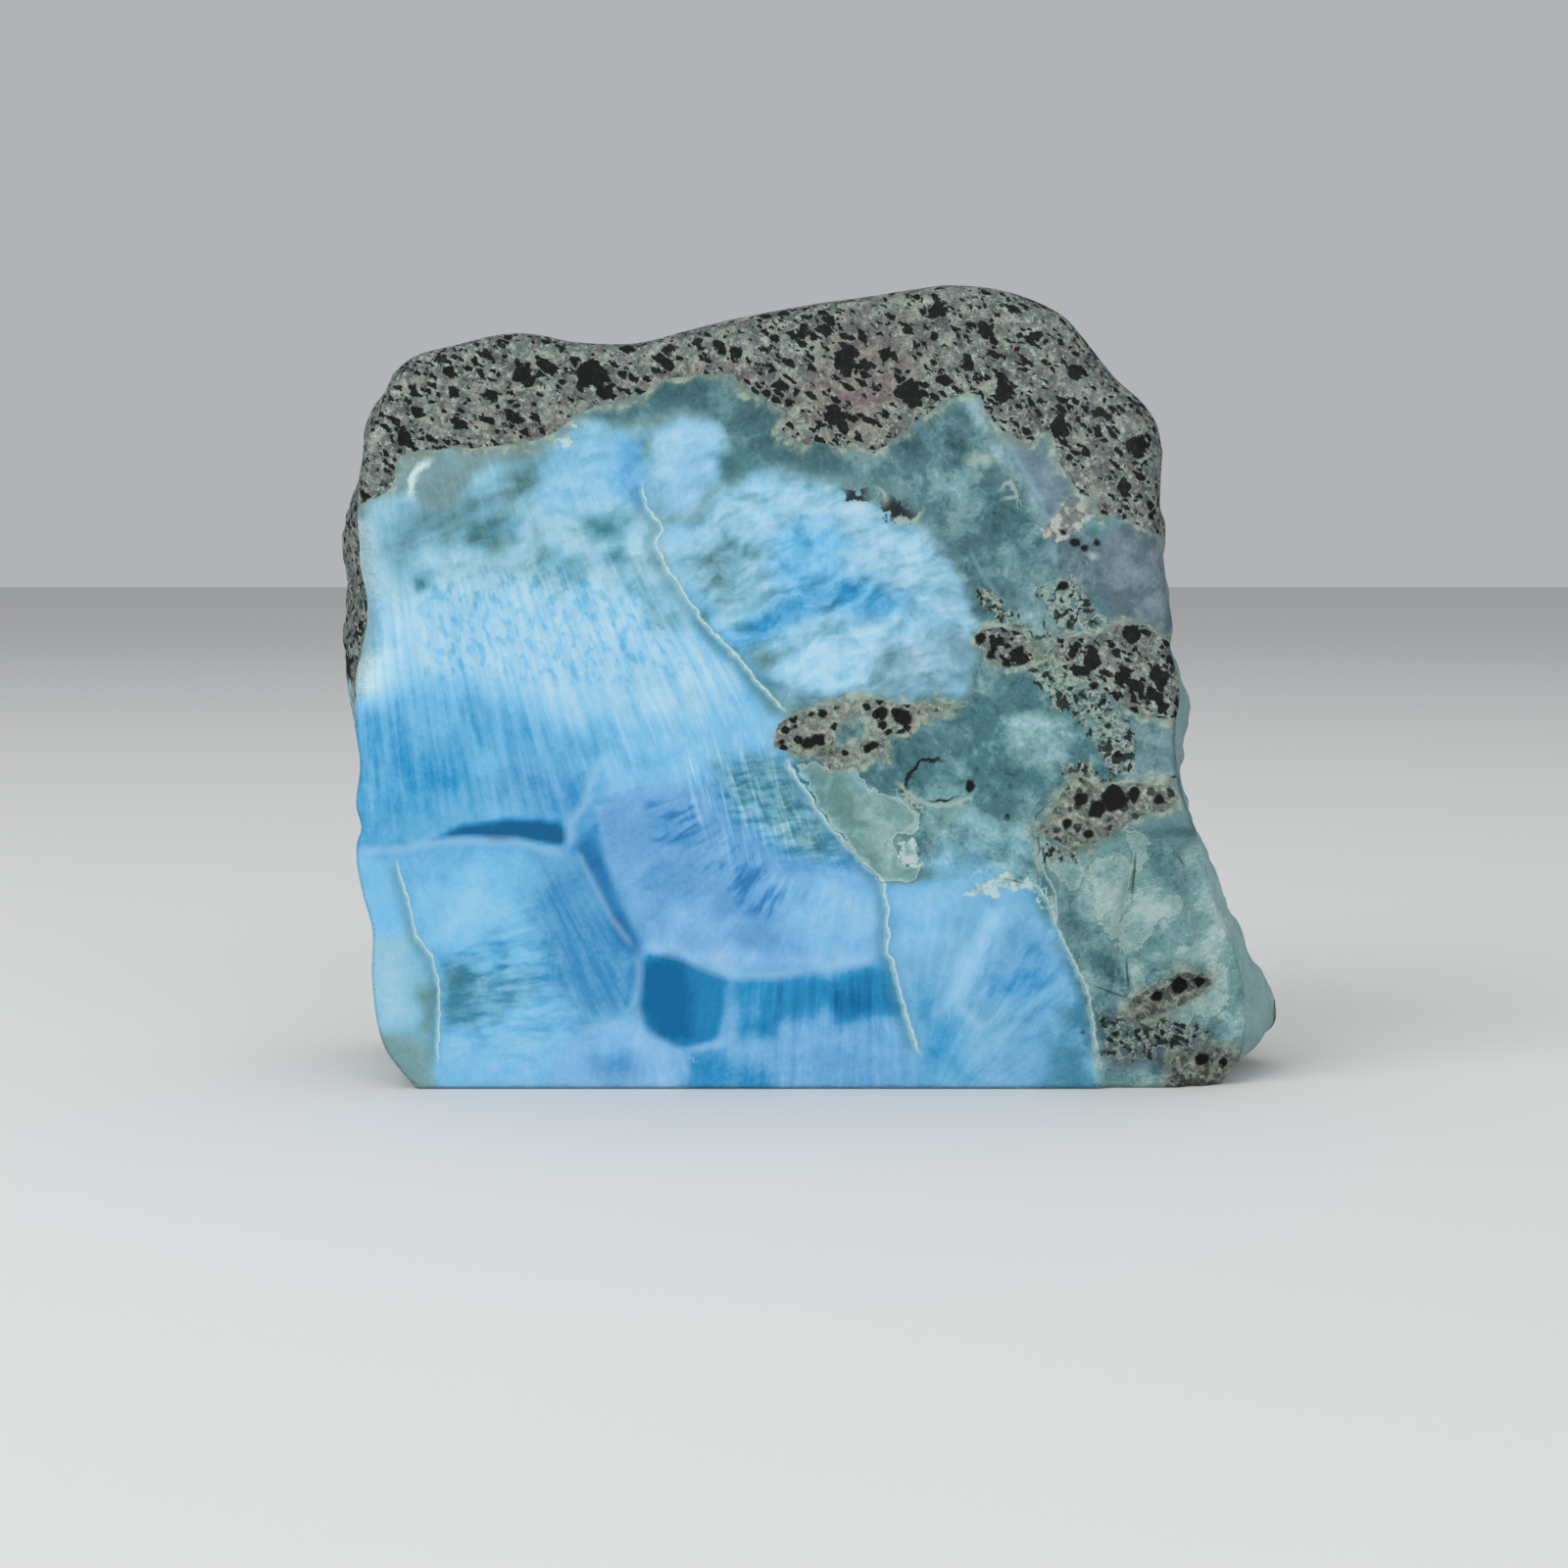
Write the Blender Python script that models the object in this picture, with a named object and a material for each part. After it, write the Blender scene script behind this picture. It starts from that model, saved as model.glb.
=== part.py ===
"""A rough piece of larimar that stands on a sawn base, with one polished face.

It is one natural stone. The polished face looks along -Y. Basalt, the rock that the
larimar grew in, makes its worn cap and its rough back. Sizes are millimetres until the
mesh is made, z = 0 is the base, and x = 0, y = 0 is the middle of the stone's box.
"""

import bpy
import numpy as np

MM = 0.001

# Driving dimensions, in millimetres
BASE_THICKNESS = 27.0
TOP_THICKNESS = 20.0
STONE_HEIGHT = 66.2
CELLS_ACROSS = 36
ROWS_DEEP = 16
FACE_EDGE_ROWS = 2
BACK_EDGE_ROWS = 4
BACK_DOME = 0.8

# Outline of the polished face as (x, z). The four edges meet at the stone's corners.
BASE_EDGE = [(-32.6, 0.0), (-10.0, 0.0), (12.0, 0.0), (34.2, 0.0)]
RIGHT_EDGE = [
    (34.2, 0.0), (35.8, 2.4), (36.2, 6.0), (35.6, 10.6), (34.2, 14.2), (33.2, 17.4),
    (32.5, 20.0), (31.5, 22.2), (30.6, 24.6), (30.0, 27.6), (29.9, 30.0), (30.2, 32.4),
    (30.0, 34.4), (29.4, 36.4), (29.6, 38.2), (29.2, 41.0), (28.9, 44.0), (28.7, 47.4),
    (28.8, 50.0), (29.0, 52.6),
]
TOP_EDGE = [
    (-34.1, 58.9), (-32.7, 60.2), (-31.2, 60.8), (-28.7, 61.4), (-26.4, 62.0),
    (-24.0, 62.3), (-21.8, 62.1), (-19.4, 61.6), (-15.4, 61.4), (-13.0, 61.7),
    (-10.4, 62.4), (-6.4, 63.4), (0.0, 64.6), (5.0, 65.3), (8.8, 65.9), (11.6, 66.2),
    (15.3, 65.9), (18.4, 65.0), (20.8, 63.8), (22.4, 62.2), (24.0, 60.2), (25.5, 58.4),
    (27.2, 56.9), (28.5, 55.0), (29.0, 52.6),
]
LEFT_EDGE = [
    (-32.6, 0.0), (-34.0, 1.6), (-35.2, 3.4), (-35.9, 6.0), (-36.2, 9.6), (-36.1, 13.2),
    (-36.8, 16.0), (-37.3, 18.6), (-37.3, 20.4), (-36.9, 21.8), (-37.3, 23.8),
    (-36.9, 27.0), (-37.2, 30.0), (-37.0, 33.8), (-36.4, 36.0), (-35.9, 38.4),
    (-36.1, 40.8), (-36.6, 43.2), (-36.7, 45.2), (-36.9, 47.4), (-36.8, 50.4),
    (-36.2, 53.0), (-35.5, 55.4), (-34.1, 58.9),
]
STONE_MIDDLE = (-2.0, 31.0)

# Cracks in the fractured corner of the face: right of each, the surface drops a little.
LEDGES = [
    ([(19.0, 22.0), (19.2, 17.5), (20.2, 14.4), (22.6, 9.0), (24.2, 2.6), (24.8, -2.0)], 0.55),
    ([(24.0, 23.5), (26.2, 18.4), (25.4, 13.0), (24.6, 9.4), (29.0, 6.0), (32.0, -2.0)], 0.7),
    ([(30.8, 22.0), (31.0, 16.0), (32.6, 11.0), (33.4, 5.0), (33.4, -2.0)], 0.8),
]
LEDGE_WIDTH = 1.2

# Open gas bubbles on the cap and the back as (x, y, z, radius), y counted from the face.
BUBBLES = [
    (-22.0, 21.0, 46.0, 3.4), (-6.0, 22.0, 54.0, 3.0), (9.0, 21.5, 41.0, 3.8),
    (20.0, 21.0, 52.0, 3.0), (-14.0, 24.5, 30.0, 3.6), (15.0, 25.0, 24.0, 3.2),
    (-28.0, 24.0, 22.0, 2.8), (2.0, 25.5, 14.0, 3.0), (25.0, 24.0, 36.0, 2.8),
]
BUBBLE_DEPTH = 1.3


def smooth_step(value, low, high):
    """An S-curve from 0 at low to 1 at high."""
    share = np.clip((value - low) / (high - low), 0, 1)
    return share * share * (3 - 2 * share)


def hill(value, middle, width):
    """A bell curve of height 1."""
    return np.exp(-(((value - middle) / width) ** 2))


def curve_through(points, cells):
    """cells + 1 points at equal steps along the Catmull-Rom curve through the given points."""
    given = np.array(points, float)
    ends = np.vstack([2 * given[0] - given[1], given, 2 * given[-1] - given[-2]])
    t = np.linspace(0, 1, 12, endpoint=False)[:, None]
    pieces = []
    for before, start, stop, after in zip(ends, ends[1:], ends[2:], ends[3:]):
        bend = (2 * before - 5 * start + 4 * stop - after) * t**2
        twist = (3 * start - before - 3 * stop + after) * t**3
        pieces.append(0.5 * (2 * start + (stop - before) * t + bend + twist))
    fine = np.vstack([*pieces, given[-1:]])
    length = np.concatenate([[0], np.cumsum(np.linalg.norm(np.diff(fine, axis=0), axis=1))])
    wanted = np.linspace(0, length[-1], cells + 1)
    return np.column_stack([np.interp(wanted, length, fine[:, axis]) for axis in (0, 1)])


def corner_number(corner, seed):
    """A repeatable number from -1 to 1 for each whole-numbered corner of space."""
    mixed = corner[..., 0] * 73856093 ^ corner[..., 1] * 19349663 ^ corner[..., 2] * 83492791
    mixed = (mixed + seed * 668265263) & 0xFFFFFFFF
    mixed = ((mixed ^ (mixed >> 13)) * 1274126177) & 0xFFFFFFFF
    return ((mixed ^ (mixed >> 16)) & 0xFFFF) / 32767.5 - 1


def lumps(points, size, seed):
    """Smooth noise from -1 to 1 with lumps about size across: numbers at the corners of a
    cubic lattice, blended along each axis by an S-curve."""
    place = points / size
    low = np.floor(place).astype(np.int64)
    share = smooth_step(place - low, 0, 1)
    total = np.zeros(len(points))
    for corner in np.ndindex(2, 2, 2):
        step = np.array(corner)
        weight = np.prod(np.where(step == 1, share, 1 - share), axis=1)
        total += weight * corner_number(low + step, seed)
    return total


def chips(points, size, seed):
    """Shell-shaped chips: the distance to the nearest of one scattered point in each cube
    of space, as a share of size. It is 0 in the middle of a bowl and about 1 on a ridge."""
    place = points / size
    low = np.floor(place).astype(np.int64)
    nearest = np.full(len(points), 9.0)
    for corner in np.ndindex(3, 3, 3):
        cell = low + np.array(corner) - 1
        scatter = np.stack([corner_number(cell, seed + axis) for axis in range(3)], axis=1)
        nearest = np.minimum(nearest, np.linalg.norm(cell + 0.5 + 0.4 * scatter - place, axis=1))
    return nearest


def side_of_line(points, line):
    """Signed distance from (x, z) points to a broken line that runs downwards, above 0 on
    the side of greater x."""
    best = np.full(len(points), 1e9)
    signed = np.zeros(len(points))
    for start, stop in zip(line, line[1:]):
        start = np.array(start)
        along = np.array(stop) - start
        share = np.clip((points - start) @ along / (along @ along), 0, 1)
        away = points - start - share[:, None] * along
        distance = np.linalg.norm(away, axis=1)
        side = np.sign(along[0] * (points[:, 1] - start[1]) - along[1] * (points[:, 0] - start[0]))
        nearer = distance < best
        best = np.where(nearer, distance, best)
        signed = np.where(nearer, side * distance, signed)
    return signed


def thickness(x, z):
    """Depth of the stone behind each place of its face: it thins evenly towards the top."""
    even = BASE_THICKNESS + (TOP_THICKNESS - BASE_THICKNESS) * z / STONE_HEIGHT
    return even + 1.6 * hill(x, -12, 16) * hill(z, 34, 20) - 1.4 * hill(x, 26, 10)


def face_edge(x, z):
    """Width and depth of the rounding round the polished face. It is a small chipped edge,
    wide where the left edge broke off in flakes and where the cap's right shoulder is worn."""
    worn_cap = smooth_step(z, 52, 62)
    shoulder = hill(x, 30, 12) * hill(z, 56, 15)
    flaked = smooth_step(-x, 28, 34) * smooth_step(z, 30, 36) * smooth_step(-z, -54, -49)
    width = 0.6 + 1.0 * worn_cap + 3.4 * shoulder + 3.0 * flaked
    depth = 0.6 + 1.4 * worn_cap + 2.2 * shoulder + 1.5 * flaked
    return width, depth


def back_edge(z):
    """Radius of the rounding round the back: small at the base, large over the cap."""
    return 2.4 + 4.6 * smooth_step(z, 1, 30)


def bulge(x, z, share):
    """How far the sides stand out past the face's outline, at a share of the depth.
    Basalt swells behind the left edge, and a lump sits behind the right foot."""
    left = 2.9 * smooth_step(-x, 26, 34) * hill(z, 40, 13) * hill(share, 0.55, 0.34)
    left_foot = 1.2 * smooth_step(-x, 26, 34) * hill(z, 16, 10) * hill(share, 0.6, 0.3)
    foot = 3.4 * smooth_step(x, 28, 33) * hill(z, 4.5, 6.5) * hill(share, 0.5, 0.32)
    right = 1.7 * smooth_step(x, 22, 28) * hill(z, 34, 16) * hill(share, 0.5, 0.35)
    return left + left_foot + foot + right


def outward(outline, on_base):
    """Unit directions away from the stone's middle, level near the base. Along the base they
    shrink to nothing at its middle, so that only its ends move."""
    away = outline - np.array(STONE_MIDDLE)
    away[:, 1] *= smooth_step(outline[:, 1], 0, 12)
    away /= np.linalg.norm(away, axis=1)[:, None]
    along_base = np.column_stack([outline[:, 0] / BASE_EDGE[-1][0], np.zeros(len(outline))])
    return np.where(on_base[:, None], along_base, away)


def ring(outline, on_base, row, rows):
    """The outline carried back to one row, as (x, y, z) with y counted from the face. The
    first rows are a quarter ellipse at the face, the last ones a quarter circle at the back.
    Where these round the base, they lift the outline off it."""
    x, z = outline.T
    width, depth = face_edge(x, z)
    full = thickness(x, z)
    radius = back_edge(z)
    if row < FACE_EDGE_ROWS:
        turn = np.pi / 2 * row / FACE_EDGE_ROWS
        inset = width * (1 - np.sin(turn))
        y = depth * (1 - np.cos(turn))
    elif row > rows - BACK_EDGE_ROWS:
        turn = np.pi / 2 * (rows - row) / BACK_EDGE_ROWS
        inset = radius * (1 - np.sin(turn))
        y = full - radius * (1 - np.cos(turn))
    else:
        share = (row - FACE_EDGE_ROWS) / (rows - BACK_EDGE_ROWS - FACE_EDGE_ROWS)
        inset = np.zeros(len(x))
        y = depth + (full - radius - depth) * share
    moved = outline + outward(outline, on_base) * (bulge(x, z, y / full) - inset)[:, None]
    lift = inset * (1 - smooth_step(z, 0, 14))
    return np.column_stack([moved[:, 0], y, moved[:, 1] + lift])


def patch(edges):
    """A Coons patch, which is the surface between four edge curves, blended across it. Its
    inner points are then moved between their neighbours a few times, to keep them apart."""
    bottom, right, top, left = edges
    s = np.linspace(0, 1, len(bottom))[:, None, None]
    t = np.linspace(0, 1, len(left))[None, :, None]
    across = (1 - s) * left[None] + s * right[None]
    upward = (1 - t) * bottom[:, None] + t * top[:, None]
    low = (1 - s) * bottom[0] + s * bottom[-1]
    high = (1 - s) * top[0] + s * top[-1]
    sheet = across + upward - (1 - t) * low - t * high
    for _ in range(3 * len(bottom)):
        around = sheet[2:, 1:-1] + sheet[:-2, 1:-1] + sheet[1:-1, 2:] + sheet[1:-1, :-2]
        sheet[1:-1, 1:-1] = around / 4
    return sheet


def shell(cells, rows):
    """Points and four-sided faces of the stone before its relief, on the skin of a box of
    cells x cells x rows cells: polished face, sides and back."""
    curves = [curve_through(line, cells) for line in (BASE_EDGE, RIGHT_EDGE, TOP_EDGE, LEFT_EDGE)]
    grid = np.zeros((cells + 1, cells + 1, rows + 1, 3))
    for row in range(rows + 1):
        edges = []
        for number, curve in enumerate(curves):
            on_base = np.full(len(curve), number == 0) | (curve[:, 1] < 0.01)
            edges.append(ring(curve, on_base, row, rows))
        grid[:, 0, row], grid[-1, :, row], grid[:, -1, row], grid[0, :, row] = edges
        if row in (0, rows):
            grid[:, :, row] = patch(edges)
    back = grid[:, :, rows]
    steps_in = np.minimum(np.arange(cells + 1), cells - np.arange(cells + 1)) / cells
    swell = smooth_step(np.minimum(steps_in[:, None], steps_in), 0, 0.25)
    back[:, :, 1] += swell * (thickness(back[:, :, 0], back[:, :, 2]) + BACK_DOME - back[:, :, 1])

    number = np.arange((cells + 1) ** 2 * (rows + 1)).reshape(cells + 1, cells + 1, rows + 1)
    sheets = [
        number[:, :, 0], number[:, :, -1].T, number[:, 0, :].T,
        number[:, -1, :], number[0, :, :], number[-1, :, :].T,
    ]
    faces = []
    for sheet in sheets:
        quads = [sheet[:-1, :-1], sheet[1:, :-1], sheet[1:, 1:], sheet[:-1, 1:]]
        faces.append(np.stack(quads, axis=-1).reshape(-1, 4))
    faces = np.vstack(faces)
    used, faces = np.unique(faces, return_inverse=True)
    return grid.reshape(-1, 3)[used], faces.reshape(-1, 4)


def outward_normals(points, faces):
    """Unit normals at the points, from the cross products of each face's diagonals."""
    a, b, c, d = (points[faces[:, k]] for k in range(4))
    across = np.cross(c - a, d - b)
    normals = np.zeros_like(points)
    for k in range(4):
        np.add.at(normals, faces[:, k], across)
    return normals / np.linalg.norm(normals, axis=1)[:, None]


def ledge_drop(points):
    """How far the face steps back in its fractured corner."""
    drop = np.zeros(len(points))
    for line, height in LEDGES:
        right = side_of_line(points[:, [0, 2]], line)
        drop += height * smooth_step(right, -LEDGE_WIDTH / 2, LEDGE_WIDTH / 2)
    low_part = smooth_step(-points[:, 2], -23, -19)
    return drop * low_part


def bubble_dents(points):
    """Depth of the open gas bubbles: round dents with a flat rim."""
    dents = np.zeros(len(points))
    for x, y, z, radius in BUBBLES:
        distance = np.linalg.norm(points - np.array([x, y, z]), axis=1)
        dents += BUBBLE_DEPTH * smooth_step(-distance, -radius, -0.3 * radius)
    return dents


def add_relief(points, normals):
    """Moves the points in or out along their normals. The polished face and the base stay
    flat, the cap is smooth from wear, and the sides and the back are broken into
    shell-shaped chips."""
    x, y, z = points.T
    behind = smooth_step(y, face_edge(x, z)[1], 6)
    above_base = smooth_step(z, 0, 4)
    worn = smooth_step(z - 0.35 * y + 8 * hill(x, 30, 9), 50, 57)
    broken = 1.1 * lumps(points, 13, 3) + 2.8 * (0.5 - chips(points, 11, 5))
    broken += 0.3 * lumps(points, 3.5, 4) + 1.0 * (0.5 - chips(points, 5.5, 9))
    smooth = 0.6 * lumps(points, 12, 6) - 0.2
    relief = behind * (worn * smooth + (1 - worn) * broken - bubble_dents(points))
    moved = normals * (above_base * relief)[:, None]
    moved[:, 1] += (1 - smooth_step(y, 1, 9)) * ledge_drop(points)
    return points + moved


def make_stone():
    """The stone's mesh object, in metres, standing on z = 0 with its box centred on x and y."""
    points, faces = shell(CELLS_ACROSS, ROWS_DEEP)
    points = add_relief(points, outward_normals(points, faces))
    points[:, 2] = np.maximum(points[:, 2], 0)
    middle = (points.min(axis=0) + points.max(axis=0)) / 2
    points -= np.array([middle[0], middle[1], 0])
    mesh = bpy.data.meshes.new("larimar_stone")
    mesh.from_pydata(points * MM, [], faces)
    mesh.update()
    mesh.shade_smooth()
    mesh.set_sharp_from_angle(angle=np.radians(40))
    stone = bpy.data.objects.new("larimar_stone", mesh)
    bpy.context.scene.collection.objects.link(stone)
    return stone


def pectolite():
    """Polished blue pectolite, which is what larimar is."""
    material = bpy.data.materials.new("pectolite")
    material.use_nodes = True
    shader = material.node_tree.nodes["Principled BSDF"]
    shader.inputs["Base Color"].default_value = (0.25, 0.52, 0.68, 1)
    shader.inputs["Roughness"].default_value = 0.25
    shader.inputs["Metallic"].default_value = 0
    return material


def main():
    for old in list(bpy.data.objects):
        bpy.data.objects.remove(old)
    stone = make_stone()
    stone.data.materials.append(pectolite())


main()
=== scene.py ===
"""A rough piece of larimar: blue pectolite in basalt, with one polished face.

The stone's shape and its pattern are formulas. Outlines on the polished face are lists of
points in face units of 0.08 mm, counted from the left and downwards, as (across, down).
Everything else is in millimetres until the mesh is made, in metres. y is counted from the
polished face into the stone.
"""

from functools import partial

import bpy
import numpy as np
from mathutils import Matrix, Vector


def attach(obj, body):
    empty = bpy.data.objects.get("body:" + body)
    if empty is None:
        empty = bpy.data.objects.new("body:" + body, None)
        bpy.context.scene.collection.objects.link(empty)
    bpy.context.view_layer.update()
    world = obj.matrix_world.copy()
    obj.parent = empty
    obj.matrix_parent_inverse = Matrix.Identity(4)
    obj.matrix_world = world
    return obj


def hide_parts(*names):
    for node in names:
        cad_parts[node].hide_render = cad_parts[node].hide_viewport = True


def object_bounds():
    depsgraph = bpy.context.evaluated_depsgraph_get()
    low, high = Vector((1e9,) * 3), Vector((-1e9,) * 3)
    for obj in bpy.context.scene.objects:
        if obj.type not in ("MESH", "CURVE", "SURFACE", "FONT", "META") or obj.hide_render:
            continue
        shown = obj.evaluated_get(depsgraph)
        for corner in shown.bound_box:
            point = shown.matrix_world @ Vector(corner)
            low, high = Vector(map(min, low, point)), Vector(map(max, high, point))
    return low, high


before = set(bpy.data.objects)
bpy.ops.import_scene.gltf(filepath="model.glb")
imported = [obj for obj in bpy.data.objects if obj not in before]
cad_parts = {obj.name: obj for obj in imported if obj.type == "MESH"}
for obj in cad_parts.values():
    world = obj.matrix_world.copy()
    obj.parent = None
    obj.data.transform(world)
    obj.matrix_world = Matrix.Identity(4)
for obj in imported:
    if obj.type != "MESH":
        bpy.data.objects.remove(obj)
SOLID_BOX = [np.array(corner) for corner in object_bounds()]

bl_info = {
    "name": "Rough larimar",
    "version": (1, 0, 0),
    "blender": (4, 5, 0),
    "location": "View3D > Sidebar > Larimar",
    "description": "Makes a rough piece of larimar with a polished face, and its stage",
    "category": "Add Mesh",
}

MM = 0.001
FACE_UNIT = 0.08
# Where x and z are 0, in face units
FACE_ZERO = (830, 1118)

# Shape, as in the solid. The middle and the four edges of the face are (x, z) points.
STONE_HEIGHT = 66.2
BACK_DOME = 0.8
STONE_MIDDLE = (-2.0, 31.0)
BASE_EDGE = [(-32.6, 0.0), (-10.0, 0.0), (12.0, 0.0), (34.2, 0.0)]
RIGHT_EDGE = [
    (34.2, 0.0), (35.8, 2.4), (36.2, 6.0), (35.6, 10.6), (34.2, 14.2), (33.2, 17.4),
    (32.5, 20.0), (31.5, 22.2), (30.6, 24.6), (30.0, 27.6), (29.9, 30.0), (30.2, 32.4),
    (30.0, 34.4), (29.4, 36.4), (29.6, 38.2), (29.2, 41.0), (28.9, 44.0), (28.7, 47.4),
    (28.8, 50.0), (29.0, 52.6),
]
TOP_EDGE = [
    (-34.1, 58.9), (-32.7, 60.2), (-31.2, 60.8), (-28.7, 61.4), (-26.4, 62.0),
    (-24.0, 62.3), (-21.8, 62.1), (-19.4, 61.6), (-15.4, 61.4), (-13.0, 61.7),
    (-10.4, 62.4), (-6.4, 63.4), (0.0, 64.6), (5.0, 65.3), (8.8, 65.9), (11.6, 66.2),
    (15.3, 65.9), (18.4, 65.0), (20.8, 63.8), (22.4, 62.2), (24.0, 60.2), (25.5, 58.4),
    (27.2, 56.9), (28.5, 55.0), (29.0, 52.6),
]
LEFT_EDGE = [
    (-32.6, 0.0), (-34.0, 1.6), (-35.2, 3.4), (-35.9, 6.0), (-36.2, 9.6), (-36.1, 13.2),
    (-36.8, 16.0), (-37.3, 18.6), (-37.3, 20.4), (-36.9, 21.8), (-37.3, 23.8),
    (-36.9, 27.0), (-37.2, 30.0), (-37.0, 33.8), (-36.4, 36.0), (-35.9, 38.4),
    (-36.1, 40.8), (-36.6, 43.2), (-36.7, 45.2), (-36.9, 47.4), (-36.8, 50.4),
    (-36.2, 53.0), (-35.5, 55.4), (-34.1, 58.9),
]
# Ledges of the fractured corner: a line, and how far the face steps back to its right
LEDGES = [
    ([(19.0, 22.0), (19.2, 17.5), (20.2, 14.4), (22.6, 9.0), (24.2, 2.6), (24.8, -2.0)], 0.55),
    ([(24.0, 23.5), (26.2, 18.4), (25.4, 13.0), (24.6, 9.4), (29.0, 6.0), (32.0, -2.0)], 0.7),
    ([(30.8, 22.0), (31.0, 16.0), (32.6, 11.0), (33.4, 5.0), (33.4, -2.0)], 0.8),
]
LEDGE_WIDTH = 1.2
# Open gas bubbles in the back, as (x, y, z, radius)
BUBBLES = [
    (-22.0, 21.0, 46.0, 3.4), (-6.0, 22.0, 54.0, 3.0), (9.0, 21.5, 41.0, 3.8),
    (20.0, 21.0, 52.0, 3.0), (-14.0, 24.5, 30.0, 3.6), (15.0, 25.0, 24.0, 3.2),
    (-28.0, 24.0, 22.0, 2.8), (2.0, 25.5, 14.0, 3.0), (25.0, 24.0, 36.0, 2.8),
]

# How finely each span of an edge is measured before its points are spread evenly
STEPS_PER_SPAN = 12

# The stage, in metres and watts. Each light has a name, a place, a size and a power.
FLOOR_REACH = 3.0
LIGHTS = (
    ("window_left", (-0.45, -0.45, 0.5), 0.5, 2.8),
    ("window_front", (0.25, -0.7, 0.35), 0.6, 1.4),
    ("sky", (0.0, 0.1, 0.9), 0.8, 1.9),
)
LIT_HEIGHT = 0.03
CAMERA_AIM = (-0.0024, 0.0254)

# Basalt on the face. The cap comes first, then the islands that float in the larimar.
BASALT = [
    [(300, 540), (371, 514), (393, 505), (407, 488), (413, 465), (436, 461), (470, 457),
     (519, 454), (551, 448), (580, 434), (600, 419), (623, 411), (657, 405), (666, 393),
     (694, 385), (752, 383), (763, 396), (781, 404), (804, 420), (801, 442), (820, 452),
     (878, 458), (893, 461), (916, 449), (941, 429), (973, 407), (992, 399), (1005, 407),
     (1015, 425), (1030, 441), (1054, 455), (1067, 438), (1080, 449), (1084, 472),
     (1098, 494), (1119, 509), (1130, 526), (1156, 530), (1173, 538), (1189, 546),
     (1300, 560), (1300, 200), (300, 200)],
    [(1000, 658), (1006, 643), (1020, 640), (1043, 643), (1066, 660), (1056, 673),
     (1035, 681), (1018, 671)],
    [(1080, 650), (1123, 650), (1146, 636), (1172, 636), (1196, 655), (1230, 708),
     (1225, 738), (1171, 731), (1146, 716), (1126, 700), (1098, 686), (1082, 668)],
    [(1063, 849), (1080, 831), (1090, 809), (1103, 792), (1116, 796), (1123, 804),
     (1154, 801), (1201, 802), (1209, 814), (1202, 825), (1179, 831), (1155, 841),
     (1143, 854), (1116, 866), (1103, 866)],
    [(795, 763), (798, 741), (808, 731), (835, 723), (846, 720), (873, 716), (906, 713),
     (929, 720), (982, 718), (956, 730), (937, 746), (913, 750), (903, 773), (879, 780),
     (853, 788), (843, 773), (818, 770)],
    [(1162, 1027), (1199, 1007), (1212, 998), (1239, 998), (1250, 1011), (1233, 1023),
     (1212, 1036), (1185, 1044), (1160, 1048)],
    [(1206, 1086), (1240, 1076), (1290, 1080), (1290, 1130), (1200, 1130)],
]
TEAL_WINDOW = [(853, 763), (860, 738), (880, 728), (896, 732), (893, 752), (874, 764)]

# Large dark crystals in the basalt and open holes in the islands, as (across, down, radius)
CRYSTALS = [
    (935, 405, 17), (857, 425, 10), (865, 370, 12), (607, 385, 16), (622, 400, 9),
    (540, 385, 11), (1085, 435, 14), (1165, 455, 12), (1025, 398, 10), (905, 360, 9),
    (468, 398, 9), (432, 420, 8), (418, 445, 8), (508, 402, 8), (756, 360, 9),
    (718, 352, 7), (820, 338, 7), (960, 318, 9), (1010, 335, 9), (1060, 345, 8),
    (1100, 380, 10), (1130, 420, 9), (1150, 500, 8), (1070, 470, 8), (990, 370, 8),
    (1160, 650, 12), (1185, 690, 11), (1150, 690, 9), (1120, 672, 8), (1190, 720, 8),
    (1024, 654, 10), (1046, 668, 9), (1105, 660, 7), (1205, 668, 8), (1140, 712, 7),
]
HOLES = [
    (905, 726, 8), (927, 731, 10), (895, 762, 6), (828, 759, 7), (838, 754, 6), (834, 730, 4),
    (801, 758, 4), (943, 727, 3), (858, 722, 3), (815, 742, 3), (995, 804, 6), (932, 754, 3),
    (1145, 815, 12), (1128, 828, 9), (1110, 815, 7), (1165, 812, 8), (1095, 842, 6),
    (1190, 818, 6), (1118, 852, 6), (1215, 1010, 9), (1192, 1024, 8), (1236, 1008, 7),
    (1006, 650, 6), (1032, 676, 6), (1018, 668, 5), (1045, 662, 5), (1090, 543, 4),
    (1090, 598, 5), (1033, 835, 4), (1113, 1057, 3), (1102, 553, 5), (1113, 558, 4),
    (1124, 553, 4), (1122, 700, 5), (1131, 716, 4), (1240, 1088, 8),
    (1262, 1094, 6), (1148, 770, 4), (1155, 785, 3),
]

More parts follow.
